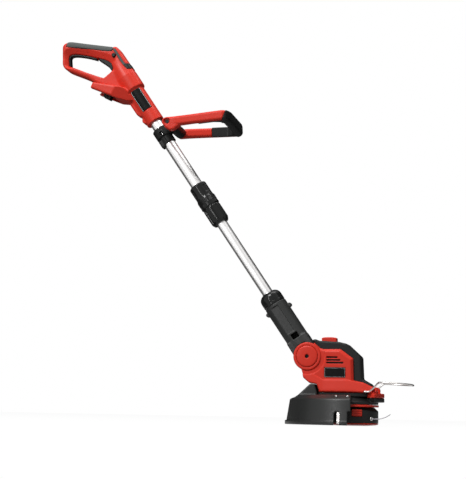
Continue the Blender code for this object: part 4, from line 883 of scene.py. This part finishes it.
def makeLoopHandle():
    # the clamp: a stepped ring round the tube, halved at X = 0, with the hinge's hub on its front half
    hingeN, hingeS = loop["hinge"]
    inner, half = loop["inner"], loop["half"]
    face = inner - 0.3
    x, y, z = low = lattice((-22, -48, -25.5), (39, 48, 17), 0.8)
    ring = rodField(x, y, z, loop["clamp"], -5, loop["above"], 1.6)
    ring = welded(ring, rodField(x, y, z, loop["clamp"] - 2.6, -loop["below"], -3, 1.2), 0.8)
    ring = welded(ring, boxField(x, y, z, (-5.6, -18.7, -3.6), (4.6, -10, 7.6), 0.6), 0.4)
    recess = boxField(x, y, z, (-4, -40, -2), (3, -13.5, 6), 0.5)
    recess = carved(recess, boxField(x, y, z, (-9, -16.6, 1.4), (9, -9, 2.6), 0.3))
    hub = rodField(x - hingeN, z, y, loop["hub"], -face, face, 1.2)
    bore = np.hypot(x, y) - 12.8 + 0 * z
    front = welded(np.maximum(ring, 0.04 - x), hub, 2.5)
    front = carved(front, bore, 0.4)
    front = carved(front, np.hypot(x - hingeN, z) - loop["pin"] - 0.3)
    front = carved(front, recess, 0.3)
    place = axesAt(poleAxes, (0, 0, hingeS), (0, 0, 1))
    castPiece("clampFront", front, low, "black", "handle", "clamp_front", place)
    tab = boxField(x, y, z, (-16.8, -13, -25), (-8, 4, -8), 2.4)
    rear = carved(carved(welded(np.maximum(ring, x + 0.04), tab, 1), bore, 0.4), recess, 0.3)
    castPiece("clampRear", rear, low, "black", "handle", "clamp_rear", place)

    # a leg is its outline from above between two levels, rounded about the hinge and cut round the grip
    side = [(a, -b) for a, b in loop["grip"][::-1]]
    plan = softened(loop["grip"] + side, 2.5)
    x, y, z = low = lattice((-11, 47.5, -20), (129, 82, 11.5), 0.7)
    hub = (loop["high"] - loop["low"]) / 2
    grow = 1 + 0.1 * np.clip((x - 50) / 60, 0, 1)
    flat = outlineField(softened(loop["leg"], 3), x, y)
    leg = chamferSlab(flat, z / grow, loop["low"], loop["high"], 4.2, 1.2)
    leg = shared(leg, np.hypot(np.minimum(x, 0), z - loop["high"] + hub) - hub + 0 * y, 1.6)
    knob = chamferSlab(outlineField(softened(loop["lobe"], 2.5), x, z), y, inner + 2.7, half, 2.6, 1.2)
    for name, node, body, flip in (
        ("loopLegLeft", "loop_leg_left", leg, False),
        ("loopLegRight", "loop_leg_right", welded(leg, knob, 1.5), True),
    ):
        body = carved(body, np.maximum(outlineField(plan, x, y), x - 122) - 0.3 + 0 * z, 0.5)
        body = shared(body, legEnd(x, y, z) + 0.15, 0.6)
        body = carved(body, outlineField(loop["inside"], x, y) + 0 * z, 0.3)
        body = carved(body, np.hypot(x, z) - loop["pin"] - 0.3 + 0 * y)
        body = carved(body, rodField(x, z, y, loop["pin"] + 2.8, half - 4, 90), 0.8)
        castPiece(name, body, low, "red", "loop_handle", node, loopAxes, flip)
    x, y, z = low = lattice((64, -82, -12), (133, 82, 11.5), 0.8)
    bar = np.maximum(outlineField(plan, x, y), np.abs(y) - 56)
    grip = slabField(bar, z, loop["low"] - 1, loop["high"] + 1, 6)
    wrap = slabField(outlineField(plan, x, y), z, loop["low"] - 0.6, loop["high"] + 0.2, 2)
    flat = outlineField(softened(loop["corner"], 3), x, np.abs(y))
    corner = slabField(flat, z, loop["low"] - 1, loop["high"] + 1, 6)
    grip = welded(welded(grip, wrap, 1.5), shared(corner, 0.15 - legEnd(x, np.abs(y), z), 0.6), 1.5)
    castPiece("loopGrip", grip, low, "black", "loop_handle", "loop_grip", loopAxes)
    print("loop handle made")


makeLoopHandle()


# The support under the tube

support = dict(
    radius=23.0, foot=28.0, top=125.0, tongue=24.0, tongueHalf=20.2, flange=(16.4, 93.6, 100.4),
    neck=[(-22.4, 45), (-22.4, 34), (-23, 4), (0, -10), (22.4, 6), (22.4, 45)],
    lugs=[(24.0, 109.0), (-23.0, 115.0)], pin=6.0, recess=((-6.0, 43.0), (9.0, 54.5)),
    panelHalf=8.0, panelMiddle=-2.0, panelDepth=2.6, panelFoot=58.0, panelTop=119.0,
)
collar = dict(radius=22.9, foot=125.3, top=152.5)


def makeSupport():
    # both halves: a cylinder round the tube with the neck, the tongue and the screw lugs, less their seats
    x, y, z = low = lattice((-28, 0, -25), (29, 23.5, 126), 0.7)
    radius, foot, top, half = (support[k] for k in ("radius", "foot", "top", "tongueHalf"))
    casing = rodField(x, y, z, radius, foot, top, 1.5)
    casing = welded(casing, slabField(outlineField(softened(support["neck"], 4), x, z), y, -half, half, 3), 2)
    casing = welded(casing, rodField(x, z, y, support["tongue"], -half, half, 1))
    for n, s in support["lugs"]:
        casing = welded(casing, rodField(x - n, z - s, y, 4.2, -7, 7, 0.8), 1)
    wide, lower, upper = support["flange"]
    casing = carved(casing, rodField(x, y, z, 11.6, lower - 11.6, top + 5), 0.3)
    casing = carved(casing, rodField(x, y, z, wide, lower, upper))
    casing = carved(casing, rodField(x, y, z, radius - 4, foot + 6, lower - 8.6))
    casing = carved(casing, np.hypot(x, z) - support["pin"] - 0.3 + 0 * y)
    for n, s in support["lugs"]:
        casing = carved(casing, rodField(x - n, z - s, y, 1.8, -1, 5.4))
    casing = np.maximum(casing, 0.15 - y)
    drilled = casing
    for n, s in support["lugs"]:
        wide, thin = rodField(x - n, z - s, y, 3.2, 7, 60), rodField(x - n, z - s, y, 1.8, -1, 60)
        drilled = carved(drilled, welded(wide, thin))
    castPiece("supportLeft", drilled, low, "casing", "support", "support_left", poleAxes)
    deep = -radius + support["panelDepth"]
    middle = support["panelMiddle"]
    panel = boxField(x - middle, -y, z, (-support["panelHalf"] - 0.3, -60, support["panelFoot"] - 0.3),
                     (support["panelHalf"] + 0.3, deep, support["panelTop"] + 0.3), 1.2)
    casing = carved(casing, panel, 0.6)
    (left, foot), (right, top) = support["recess"]
    casing = carved(casing, boxField(x, y, z, (left, 18, foot), (right, 60, top), 1.5), 0.8)
    castPiece("supportRight", casing, low, "casing", "support", "support_right", poleAxes, True)
    for k, (n, s) in enumerate(support["lugs"]):
        makePiece(f"supportScrew{k + 1}", screwShape(2.9, 13, 2, 1.45), "steel", "support",
                  f"support_screw_{k + 1}", axesAt(poleAxes, (n, 7.3, s), (0, 1, 0)))
    half, low, high = support["panelHalf"], support["panelFoot"], support["panelTop"]
    corners = [(middle - half, low), (middle + half, low), (middle + half, high), (middle - half, high)]
    place = axesAt(poleAxes, (0, deep, 0), (0, -1, 0))
    shape = slabShape(softened(corners, 1.2), -1.5, -0.3)
    makePiece("anglePanel", shape, "gloss", "support", "angle_plate", place)

    radius, foot, top = collar["radius"], collar["foot"], collar["top"]
    line = profileOf([
        (11.3, top, 0.4), (11.3, foot, 0.4), (radius - 1, foot, 0.5), (radius, foot + 2, 0.8),
        (radius, foot + 5.6, 0.3), (radius - 0.5, foot + 6, 0.2), (radius, foot + 6.4, 0.3),
        (radius, top - 11, 4), (radius - 1.6, top - 6, 2.5), (radius - 5.5, top - 2, 2.5),
        (radius - 9.5, top, 0.8),
    ], True, 6)
    makePiece("releaseCollar", lathe(line, 128), "gloss", "release_collar", "release_collar", poleAxes)
    print("support made")


makeSupport()


# The motor head, in the world's axes

head = dict(
    pivot=(-84.0, 132.5), coreHalf=24.0, coverHalf=33.0, skirtHalf=38.0, lobe=27.2, cap=21.0, tongue=24.0,
    core=[
        (-75, 165.2), (-70, 167), (-61, 163.6), (-23, 161.8), (-7, 158), (20.5, 132.7), (22.6, 90), (40, 80.3),
        (44, 73), (44, 63),
    ],
    cover=[
        (-72, 160.5), (-58, 148), (-52, 147), (-19, 147.2), (6, 129), (7, 86.7), (26, 83), (45.6, 73.8),
        (51.4, 68.1), (55.3, 62.7), (-59, 62.7), (-65, 79.5), (-79, 81.2), (-91, 91.3), (-91, 103),
        (-92.5, 107),
    ],
    skirt=[
        (-96, 109.5), (-52, 87), (-8, 87.5), (7, 85.5), (26, 81.5), (44.6, 73), (50.4, 67.5), (54, 62.9),
        (-58.5, 62.9), (-64, 78.5), (-79, 80.8), (-91, 90.8), (-93, 100),
    ],
    hollow=[(-44, 60), (-44, 120), (-40, 146), (-24, 148), (-12, 151), (18.1, 131), (18.1, 60)],
    pocket=[(-52, 86), (-52, 142), (-21, 142.4), (1.5, 126), (2.4, 86)],
    vents=[(131.0, -24.0), (125.7, -18.5), (120.4, -12.6)], ventRear=-46.0, ventHalf=1.5, groove=8.0, lean=0.16,
    plate=(-49.8, -8.5, 92.1, 111.2), wire=(29.0, 65.3), port=(46.0, 67.5),
)
tiltButton = dict(rear=-59.0, front=-29.0, foot=153.7, top=172.0, half=9.0, travel=4.0)


def makeHead():
    # the cowl: its outline from the side carried across, less the motor's space and the button's well
    px, pz = head["pivot"]
    x, y, z = low = lattice((-80, -24, 62), (45, 24, 168), 0.85)
    around = arc((px, pz), head["tongue"] + 1.6, -58, 52, 16)
    outline = np.concatenate([softened(head["core"], 3, False), [(-58, 63), (-66, 84)], around])
    core = chamferSlab(outlineField(outline, x, z), y, -head["coreHalf"], head["coreHalf"], 2.4, 0.9)
    core = carved(core, slabField(outlineField(head["hollow"], x, z), y, -21.5, 21.5, 1))
    rear, front, foot, top = (tiltButton[k] for k in ("rear", "front", "foot", "top"))
    half, wide = tiltButton["half"], 2.2
    well = boxField(x, y, z, (rear - 0.6, -half - 0.6, foot), (front + 0.6, half + 0.6, top + 10), 1)
    core = carved(core, well, 0.9)
    below = foot - tiltButton["travel"] - 0.3
    first, last = (rear - wide, -half - wide, below), (front + wide, half + wide, foot + 3.1)
    core = carved(core, boxField(x, y, z, first, last))
    castPiece("motorCowl", core, low, "black", "head", "motor_cowl")

    x, y, z = low = lattice((rear - 2, -half - 2, foot - 0.5), (front + 2, half + 2, top + 0.5), 0.6)
    key = boxField(x, y, z, (rear, -half, foot), (front, half, top), 2.5)
    crown = np.hypot(x - (rear + front) / 2, z - top + 60) - 60 + 0 * y
    key = shared(key, crown, 1.2)
    rim = boxField(x, y, z, (rear - 1.6, -half - 1.6, foot), (front + 1.6, half + 1.6, foot + 2.8), 0.4)
    key = welded(key, rim, 0.4)
    castPiece("tiltButton", key, low, "red", "tilt_button", "tilt_button")

    x, y, z = low = lattice((-113, 20, 61), (57, 38.5, 163), 0.7)
    half, seam = head["coverHalf"], head["coreHalf"] + 0.3
    lobeArc = arc((px, pz), head["lobe"], 205, 60, 24)
    outline = np.concatenate([softened(head["cover"], 2, False), lobeArc])
    cover = chamferSlab(outlineField(outline, x, z), y, 0, half, 5.0, 0.9)
    # the skirt leans out below a ridge that runs from the lobe to the nose
    ridge = np.interp(x.ravel(), *np.array(head["skirt"][:6]).T)[:, None, None]
    skirt = chamferSlab(outlineField(softened(head["skirt"], 2), x, z), y, 0, head["skirtHalf"], 3.0, 1.0)
    skirt = shared(skirt, (y - half - 1.6 - head["lean"] * (ridge - z)) * 0.98, 0.8)
    cover = welded(cover, skirt, 1.2)
    cover = welded(cover, rodField(x - px, z - pz, y, head["lobe"], 0, half + 1, 2.2), 1.2)
    groove = rodField(x - px, z - pz, y, head["lobe"] + head["groove"], half - 1.6, 90)
    cover = carved(cover, groove, 1.5)
    cover = welded(cover, rodField(x - px, z - pz, y, head["lobe"], 0, half + 1, 2.2), 1.0)
    port = head["port"]
    cover = welded(cover, rodField(x - port[0], z - port[1] - 0.6, y, 7.2, 20, half + 2, 1.6), 1.2)
    cover = np.maximum(cover, seam - y)
    cover = welded(cover, rodField(x - px, z - pz, y, head["tongue"], 20.8, seam + 2), 0.3)
    cover = carved(cover, np.maximum(outlineField(head["pocket"], x, z), y - half + 2.5))
    cover = carved(cover, np.hypot(x - px, z - pz) - 6.3 + 0 * y)
    cover = carved(cover, rodField(x - px, z - pz, y, head["cap"] + 0.4, half - 2.4, 90), 0.8)
    cover = carved(cover, np.hypot(x - head["wire"][0], z - head["wire"][1]) - 2.1 + 0 * y)
    cover = carved(cover, rodField(x - port[0], z - port[1], y, 3.4, 28.5, 90), 0.6)
    back, tall = head["ventRear"], head["ventHalf"]
    for level, tip in head["vents"]:
        cover = carved(cover, boxField(x, y, z, (back, 24, level - tall), (tip, 90, level + tall), 1.2), 0.9)
    castPiece("headCoverLeft", cover, low, "red", "head", "head_cover_left")
    left, right, bottom, peak = head["plate"]
    seat = boxField(x, y, z, (left - 0.3, half - 0.9, bottom - 0.3), (right + 0.3, 90, peak + 0.3), 0.8)
    castPiece("headCoverRight", carved(cover, seat, 0.3), low, "red", "head", "head_cover_right", flip=True)
    print("head covers made")

    middle = ((left + right) / 2, -half + 0.6, (bottom + peak) / 2)
    place = axesAt(worldAxes, middle, (0, -1, 0))
    sizes = ((right - left) / 2, (peak - bottom) / 2)
    frameLine = [(-sizes[0], -sizes[1]), (sizes[0], -sizes[1]), (sizes[0], sizes[1]), (-sizes[0], sizes[1])]
    shape = slabShape(softened(frameLine, 1.6), 0, 1.0)
    plate = makePiece("headNamePlate", shape, "plate", "head", "head_plate", place)
    edge = plate.modifiers.new("edge", "BEVEL")
    edge.width, edge.segments, edge.limit_method = 0.00025, 2, "ANGLE"
    border = softened(np.array(frameLine) * [(sizes[0] - 1) / sizes[0], (sizes[1] - 1) / sizes[1]], 1.2)
    rim = np.insert(looped(border), 2, 0.98, axis=1)
    makePiece("headPlateBorder", sweep(rim, 0.16, 8), "ink", "head", (), place, 60)

    cap, bore, across = head["cap"], 4.2, 3.7
    line = profileOf([
        (bore, -1.9, 0.05), (cap - 0.3, -1.9, 0.3), (cap, -1.5, 0.3), (cap, 1.6, 1.0), (cap - 2.2, 3.0, 1.4),
        (9.5, 3.3, 3), (bore + 0.7, 3.3, 0.3), (bore, 2.9, 0.3), (bore, 1.0, 0.05), (bore, 0, 0.05),
    ], True, 3)

    def socket(angle, height):
        # the cap's bore becomes a hexagon below its rim
        inside = (line[:, 0] < bore + 0.05)[:, None] & (height < 3.2)
        return np.where(inside, across / hexShare(angle) - bore, 0)

    for name, node, side in (("pivotCapLeft", "pivot_cap_left", 1), ("pivotCapRight", "pivot_cap_right", -1)):
        makePiece(name, lathe(line, 96, socket), "red", "head", node,
                  axesAt(worldAxes, (px, side * head["coverHalf"], pz), (0, side, 0)))

    x, y, z = low = lattice((-53, -59, 40.5), (64, 59, 57), 0.8)
    hood = [(8.5, 56), (8.5, 49), (46, 43), (49, 41), (52, 41), (52, 45.7), (32, 56)]
    skirtLine = [(36, 45.5), (63.6, 45.5), (63.6, 53.3), (36, 53.3)]
    nose = shared(turnedField(softened(skirtLine, 1.4), x, y, z), wedgeField(x, y, 39), 1.4)
    castPiece("spoolHood", welded(turnedField(softened(hood, 0.7), x, y, z), nose, 0.6), low, "black", "head",
              "spool_hood")
    x, y, z = low = lattice((22, -54, 53.4), (64, 54, 62.6), 0.7)
    noseLine = softened([(40, 53.6), (63.6, 53.6), (63.6, 62.4), (40, 62.4)], 2)
    nose = shared(turnedField(noseLine, x, y, z), wedgeField(x, y, 41), 1.6)
    plan = softened([(-62, -36), (20, -36), (44, -22), (44, 22), (20, 36), (-62, 36)], 8)
    nose = carved(nose, outlineField(plan, x, y) - 0.3 + 0 * z, 0.3)
    nose = carved(nose, turnedField([(-1, 30), (52.3, 30), (52.3, 46), (32.3, 56.3), (-1, 56.3)], x, y, z), 0.3)
    castPiece("noseGuard", nose, low, "red", "head", "nose_guard")
    print("motor head made")


makeHead()


guardWire = dict(
    diameter=3.4,
    route=[
        (29, 30.4, 65.3), (29, 38.9, 65.3), (30.5, 40.4, 65.3), (39, 40.4, 66), (48, 44.4, 73.5),
        (56, 50, 81), (60, 54, 82.8), (72, 58, 82.6), (92, 56, 81.6), (106, 49, 80.7), (114, 38, 80.2),
        (118.3, 22, 79.9),
    ],
)


def makeGuardWire():
    # a circle carried along one side's curve and back along its mirror image
    side = guardWire["route"]
    route = smoothRoute(side + [(x, -y, z) for x, y, z in side[::-1]], 8)
    shape = sweep(route, guardWire["diameter"] / 2, 20)
    makePiece("wireBow", shape, "steel", "guard_wire", "guard_wire", sharp=60)
    print("guard wire made")


makeGuardWire()


# The shield behind the spool

shield = dict(
    foot=127.0, top=120.6, lip=130.0, lipHigh=8.5, low=0.8, high=48.9, crest=57.6, crestRadius=101.0, seat=74.0,
    wall=2.6, near=-84.0, far=-258.6, hump=36.0, level=56.0, rim=40.0,
    screws=[(-52.0, -27.0), (-52.0, 27.0)], cutterScrews=[-98.5, -87.2],
    notchX=-12.85, notchTop=20.85, notchHalf=5.15, postX=7.0, postTop=27.0, cutOuter=-90.0,
)


def wallRadius(height):
    # the inside of the skirt, which leans in from its lip to the deck
    lean = (shield["foot"] - shield["top"]) / (shield["high"] - shield["lipHigh"])
    return shield["foot"] - shield["wall"] - lean * (max(height, shield["lipHigh"]) - shield["lipHigh"])


def makeShield():
    # a section turned about the spool's axis and cut to its two ends, with the hump over its rear welded on
    wall, lip, level, crest = shield["wall"], shield["lipHigh"], shield["level"], shield["crest"]
    section = [
        (shield["rim"], level - wall, 0.5), (shield["seat"] + 1, level - wall, 1),
        (shield["seat"] + 3, crest - wall, 1), (shield["crestRadius"] - 0.6, crest - wall, 2),
        (wallRadius(shield["high"]) + 0.4, shield["high"] - 1, 2), (wallRadius(lip), lip, 1),
        (wallRadius(lip), shield["low"], 0.6), (shield["lip"], shield["low"], 0.8), (shield["lip"], lip, 1.2),
        (shield["foot"], lip, 1.0), (shield["top"], shield["high"], 1.6),
        (shield["top"] - 2, shield["high"] + 1.5, 1.2), (shield["crestRadius"], crest, 3),
        (shield["seat"] + 2, crest, 1), (shield["seat"], level, 1),
        (shield["rim"], level, 0.6),
    ]
    x, y, z = low = lattice((-130.5, -130.5, 0.3), (15, 130.5, 81), 1.05)
    body = turnedField(profileOf(section, True, 4), x, y, z)
    near, far = (math.radians(shield[k]) for k in ("near", "far"))
    nearSide = y * math.cos(near) - x * math.sin(near)
    farSide = x * math.sin(far) - y * math.cos(far)
    body = shared(shared(body, nearSide + 0 * z, 0.9), farSide + 0 * z, 0.9)
    rear, below = -shield["crestRadius"] - 9, crest - wall - 6
    outside = [
        (rear, shield["high"]), (-76.5, 80), (-68, 78.5), (-63.2, 62), (-63.2, level), (-60, level),
        (-60, level - wall), (rear, level - wall - 5),
    ]
    inside = [(rear + 7, below), (-74, 75.5), (-70, 75), (-66.2, 62), (-66.2, below)]
    half = shield["hump"]
    hump = slabField(outlineField(softened(outside, 2.4), x, z), y, -half, half, 2.4)
    body = welded(body, hump, 2.5)
    body = carved(body, slabField(outlineField(softened(inside, 1), x, z), y, -half + 3, half - 3, 1))
    # the arched notch that the blade shows through, and the step in front of it
    right, across, top = y - shield["cutOuter"], x - shield["notchX"], z - shield["notchTop"]
    half = shield["notchHalf"]
    arch = welded(np.hypot(across, top) - half, np.maximum(np.abs(across) - half, top))
    body = carved(body, np.maximum(arch, right), 0.8)
    body = carved(body, np.maximum(np.maximum(shield["postX"] - x, z - shield["postTop"]), right), 0.8)
    castPiece("sprayShield", body, low, "shield", "head", "shield")

    for k, (sx, sy) in enumerate(shield["screws"]):
        shape, place = screwShape(3.6, 7, 2.4, 1.8), axesAt(worldAxes, (sx, sy, level - wall - 0.3), (0, 0, -1))
        makePiece(f"shieldScrew{k + 1}", shape, "steel", "head", f"shield_screw_{k + 1}", place)
    run = shield["top"] - 2 - shield["crestRadius"]
    fall = crest - shield["high"] - 1.5
    middle = np.array([shield["crestRadius"] + run / 2, 0, crest - fall / 2])
    way = np.array([fall, 0, run]) / math.hypot(run, fall)
    for k, angle in enumerate(shield["cutterScrews"]):
        at, along = turnedAbout(middle + 0.3 * way, angle), turnedAbout(way, angle)
        shape, place = screwShape(2.6, 6.5, 1.8, 1.3), axesAt(worldAxes, at, along)
        makePiece(f"cutterScrew{k + 1}", shape, "steel", "head", f"cutter_screw_{k + 1}", place)
    print("shield made")


makeShield()


# The spool, its cap and the two keys that let the cap go

spool = dict(
    radius=52.0, wall=2.5, cap=5.0, flat=30.0, shoulder=28.3, top=35.7, ringTop=40.2,
    tabHalf=10.0, tabLow=18.0, tabHigh=31.0, tabAngle=-71.5, eyeletAngle=-37.0, eyeletZ=13.7, eyelet=3.6,
)


def makeSpool():
    # the housing: a turned cup with a sleeve for the shaft, less the keys' slots and the eyelet's hole
    radius, wall, top = spool["radius"], spool["wall"], spool["top"]
    inner, foot, roof, hub = radius - wall, spool["cap"] + 0.3, top - wall, 6.5
    cup = [
        (hub, top, 0.5), (hub, roof, 0.4), (radius - 9, roof, 1), (inner, spool["shoulder"] - 1, 1.5),
        (inner, foot, 0.4), (radius, foot, 0.5), (radius, spool["shoulder"], 1.2), (radius - 8, top, 0.8),
    ]
    x, y, z = low = lattice((-52.5, -52.5, 4.8), (52.5, 52.5, 36.2), 0.85)
    body = turnedField(profileOf(cup, True, 4), x, y, z)
    sleeve = [(2.8, top - 12), (hub + 0.5, top - 12), (hub + 0.5, top), (2.8, top)]
    body = welded(body, turnedField(sleeve, x, y, z))
    tabA, holeA = (math.radians(spool[k]) for k in ("tabAngle", "eyeletAngle"))
    half = spool["tabHalf"]
    for side in (1, -1):
        u = side * (x * math.cos(tabA) + y * math.sin(tabA))
        v = y * math.cos(tabA) - x * math.sin(tabA)
        first, last = (40, -half - 0.3, spool["tabLow"] - 0.3), (60, half + 0.3, spool["tabHigh"] + 0.3)
        body = carved(body, boxField(u, v, z, first, last, 0.8), 0.5)
    u = x * math.cos(holeA) + y * math.sin(holeA)
    v = y * math.cos(holeA) - x * math.sin(holeA)
    hole = np.maximum(np.hypot(v, z - spool["eyeletZ"]) - spool["eyelet"] + 0.7, 40 - u)
    body = carved(body, hole, 0.3)
    castPiece("spoolHousing", body, low, "black", "spool", "spool_housing")

    x, y, z = low = lattice((44.5, -13, 16), (53, 13, 31.5), 0.5)
    reach = np.hypot(x, y)
    tab = boxField(x + 0 * y, y + 0 * x, z, (45.6, -half, spool["tabLow"]), (60, half, spool["tabHigh"]), 0.9)
    tab = shared(tab, reach - radius - 0.8 + 0 * z, 0.8)
    for level in (22.6, 26.6):
        tab = carved(tab, np.hypot(reach - radius - 1.2, (z - level) / 1.4) - 1.15, 0.5)
    first, last = (45, -half - 2.5, spool["tabLow"] - 1.6), (47.6, half + 2.5, spool["tabHigh"] - 4)
    tab = welded(tab, boxField(x, y, z, first, last, 0.4), 0.3)
    points, faces = skin(tab, low, 0.5)
    for name, node, angle in (
        ("spoolKeyRight", "spool_tab_right", spool["tabAngle"]),
        ("spoolKeyLeft", "spool_tab_left", spool["tabAngle"] + 180),
    ):
        makePiece(name, (turnedAbout(points, angle), faces), "red", node, node, sharp=180, turnOut=False)

    edge = radius + 0.8
    line = profileOf([(radius - 9, top + 0.3, 0.3), (edge, top + 0.3, 0.8), (edge, spool["ringTop"], 1.2),
                      (radius - 9, spool["ringTop"], 0.3)], True)
    makePiece("spoolRing", lathe(line, 160), "red", "spool", "spool_ring")
    lip, thick = inner - 0.3, spool["cap"]
    line = profileOf([
        (0, 0, 0), (spool["flat"], 0, 6), (radius - 3, 1.6, 2), (radius, 3.2, 0.8), (radius, thick, 0.5),
        (lip, thick, 0.2), (lip, thick + 4, 0.4), (lip - 1.7, thick + 4, 0.4), (lip - 1.7, thick - 1, 0.4),
        (0, thick - 1, 0),
    ])
    makePiece("spoolCap", lathe(line, 160), "red", "spool_cap", "spool_cap")
    eye, bore = spool["eyelet"], 1.2
    line = profileOf([
        (bore, -6, 0.2), (eye - 1, -6, 0.2), (eye - 1, 0.2, 0.1), (eye, 0.2, 0.2), (eye, 1.4, 0.9),
        (bore + 0.5, 1.4, 0.8), (bore, 0.6, 0.4),
    ], True)
    a = spool["eyeletAngle"]
    at, way = turnedAbout((radius, 0, spool["eyeletZ"]), a), turnedAbout((1, 0, 0), a)
    place = axesAt(worldAxes, at, way, (0, 0, 1))
    makePiece("lineEyelet", lathe(line, 40), "steel", "spool", "eyelet", place)
    print("spool made")


makeSpool()


# Pieces that stay as they come from the frame, with better finishes; the loop bolt's black is painted shade

keptPieces = dict(
    # loop_bolt is a steel bolt: its black finish is painted shade, standing for the dark of the hex recess
    # round it
    black=["trigger_switch", "battery_terminals", "collet", "line_bobbin", "head_base", "loop_bolt",
           "pivot_pin"],
    steel=["swivel_flange", "drive_shaft", "motor", "line_cutter"],
    line=["wound_line"],
)
for look, names in keptPieces.items():
    for name in names:
        mesh = frame["nodes"][name].data
        mesh.materials.clear()
        mesh.materials.append(looks[look])


# Floor, world and lamps

studio = dict(
    floorZ=-0.6, floorHalf=9000.0, floorTone=0.9, floorGlow=0.95, ambient=0.2, bounce=0.2,
    cards=[
        # two far corners of an upright or a level card, and its tone: seen only in reflections, where the dark
        # ones paint dark bands and the strip a painted highlight line
        ((-4000, 2600, 0), (4000, 2600, 4000), 0.04),
        ((-2600, -500, 0), (-2600, 2600, 4000), 0.1),
        ((2600, -300, 0), (2600, 2600, 4000), 0.12),
        ((-2600, -300, 1), (-420, 2600, 1), 0.14),
        ((150, -2900, 0), (3500, -2900, 4000), 0.8),
        # a strip that glows at 26 though it is no lamp: a painted highlight line on glossy surfaces, lighting
        # nothing else
        ((-1350, -2800, -100), (-1250, -2800, 1900), 26.0),
        ((-420, 420, 1), (2600, 2600, 1), 0.05),
    ],
    lamps=[
        # place, aim, width, height, strength, in millimetres and watts
        ((-2400, -5000, 5200), (-150, 0, 300), 2600, 2600, 500.0),
        ((0, -200, 2400), (-60, 0, 350), 1600, 1000, 24.0),
    ],
)


def makeStudio():
    # the floor and the world are pale to the camera and in reflections, and dim as lights
    size, level = studio["floorHalf"], studio["floorZ"]
    mesh = bpy.data.meshes.new("floor")
    corners = [(-size, -size, level), (size, -size, level), (size, size, level), (-size, size, level)]
    mesh.from_pydata([tuple(c * mm for c in p) for p in corners], [], [(0, 1, 2, 3)])
    floor = bpy.data.objects.new("floor", mesh)
    bpy.context.scene.collection.objects.link(floor)
    material, shader, place = finishOf("floorPaper", 0.9)
    tree = material.node_tree
    glow = place.node("ShaderNodeEmission", {}, {"Color": (1, 1, 1, 1), "Strength": 1.0})
    rays = tree.nodes.new("ShaderNodeLightPath").outputs
    seen = Value(tree, rays["Is Camera Ray"]) + Value(tree, rays["Is Glossy Ray"])
    wire(place, shader, seen.blend((studio["bounce"],) * 3, (studio["floorTone"],) * 3))
    inputs = {0: seen * studio["floorGlow"], 1: Value(tree, shader.outputs[0]), 2: glow}
    mixed = place.node("ShaderNodeMixShader", {}, inputs)
    tree.links.new(mixed.socket, tree.nodes["Material Output"].inputs["Surface"])
    mesh.materials.append(material)

    world = bpy.data.worlds.new("studio")
    bpy.context.scene.world = world
    world.use_nodes = True
    tree = world.node_tree
    rays = tree.nodes.new("ShaderNodeLightPath").outputs
    seen = Value(tree, rays["Is Camera Ray"]) + Value(tree, rays["Is Transmission Ray"])
    seen = seen + Value(tree, rays["Is Glossy Ray"])
    strength = seen * (1 - studio["ambient"]) + studio["ambient"]
    tree.links.new(strength.socket, tree.nodes["Background"].inputs["Strength"])
    tree.nodes["Background"].inputs["Color"].default_value = (1, 1, 1, 1)

    for k, (low, high, tone) in enumerate(studio["cards"]):
        mesh = bpy.data.meshes.new(f"card{k + 1}")
        low, high = np.array(low) * mm, np.array(high) * mm
        level = [(0, 0, 0), (1, 0, 0), (1, 1, 0), (0, 1, 0)]
        upright = [(0, 0, 0), (1, 1, 0), (1, 1, 1), (0, 0, 1)]
        turns = level if low[2] == high[2] else upright
        mesh.from_pydata([tuple(low + (high - low) * turn) for turn in turns], [], [(0, 1, 2, 3)])
        card = bpy.data.objects.new(f"card{k + 1}", mesh)
        card.visible_camera = card.visible_diffuse = card.visible_shadow = False
        bpy.context.scene.collection.objects.link(card)
        # each card is a glow of its tone, seen only in glossy reflections: painted dark reflections, and a
        # painted highlight for the strip
        material, shader, place = finishOf(f"cardGlow{k + 1}", 0.9)
        glow = place.node("ShaderNodeEmission", {}, {"Color": (tone, tone, tone, 1), "Strength": 1.0})
        material.node_tree.links.new(glow.socket, material.node_tree.nodes["Material Output"].inputs["Surface"])
        mesh.materials.append(material)

    for k, (at, aim, width, tall, power) in enumerate(studio["lamps"]):
        data = bpy.data.lights.new(f"softbox{k + 1}", "AREA")
        data.shape, data.size, data.size_y, data.energy = "RECTANGLE", width * mm, tall * mm, power
        lamp = bpy.data.objects.new(f"softbox{k + 1}", data)
        lamp.location = Vector(at) * mm
        lamp.rotation_euler = (Vector(aim) - Vector(at)).to_track_quat("-Z", "Y").to_euler()
        bpy.context.scene.collection.objects.link(lamp)
    bpy.context.scene.view_settings.view_transform = "Standard"
    print("studio made")


makeStudio()
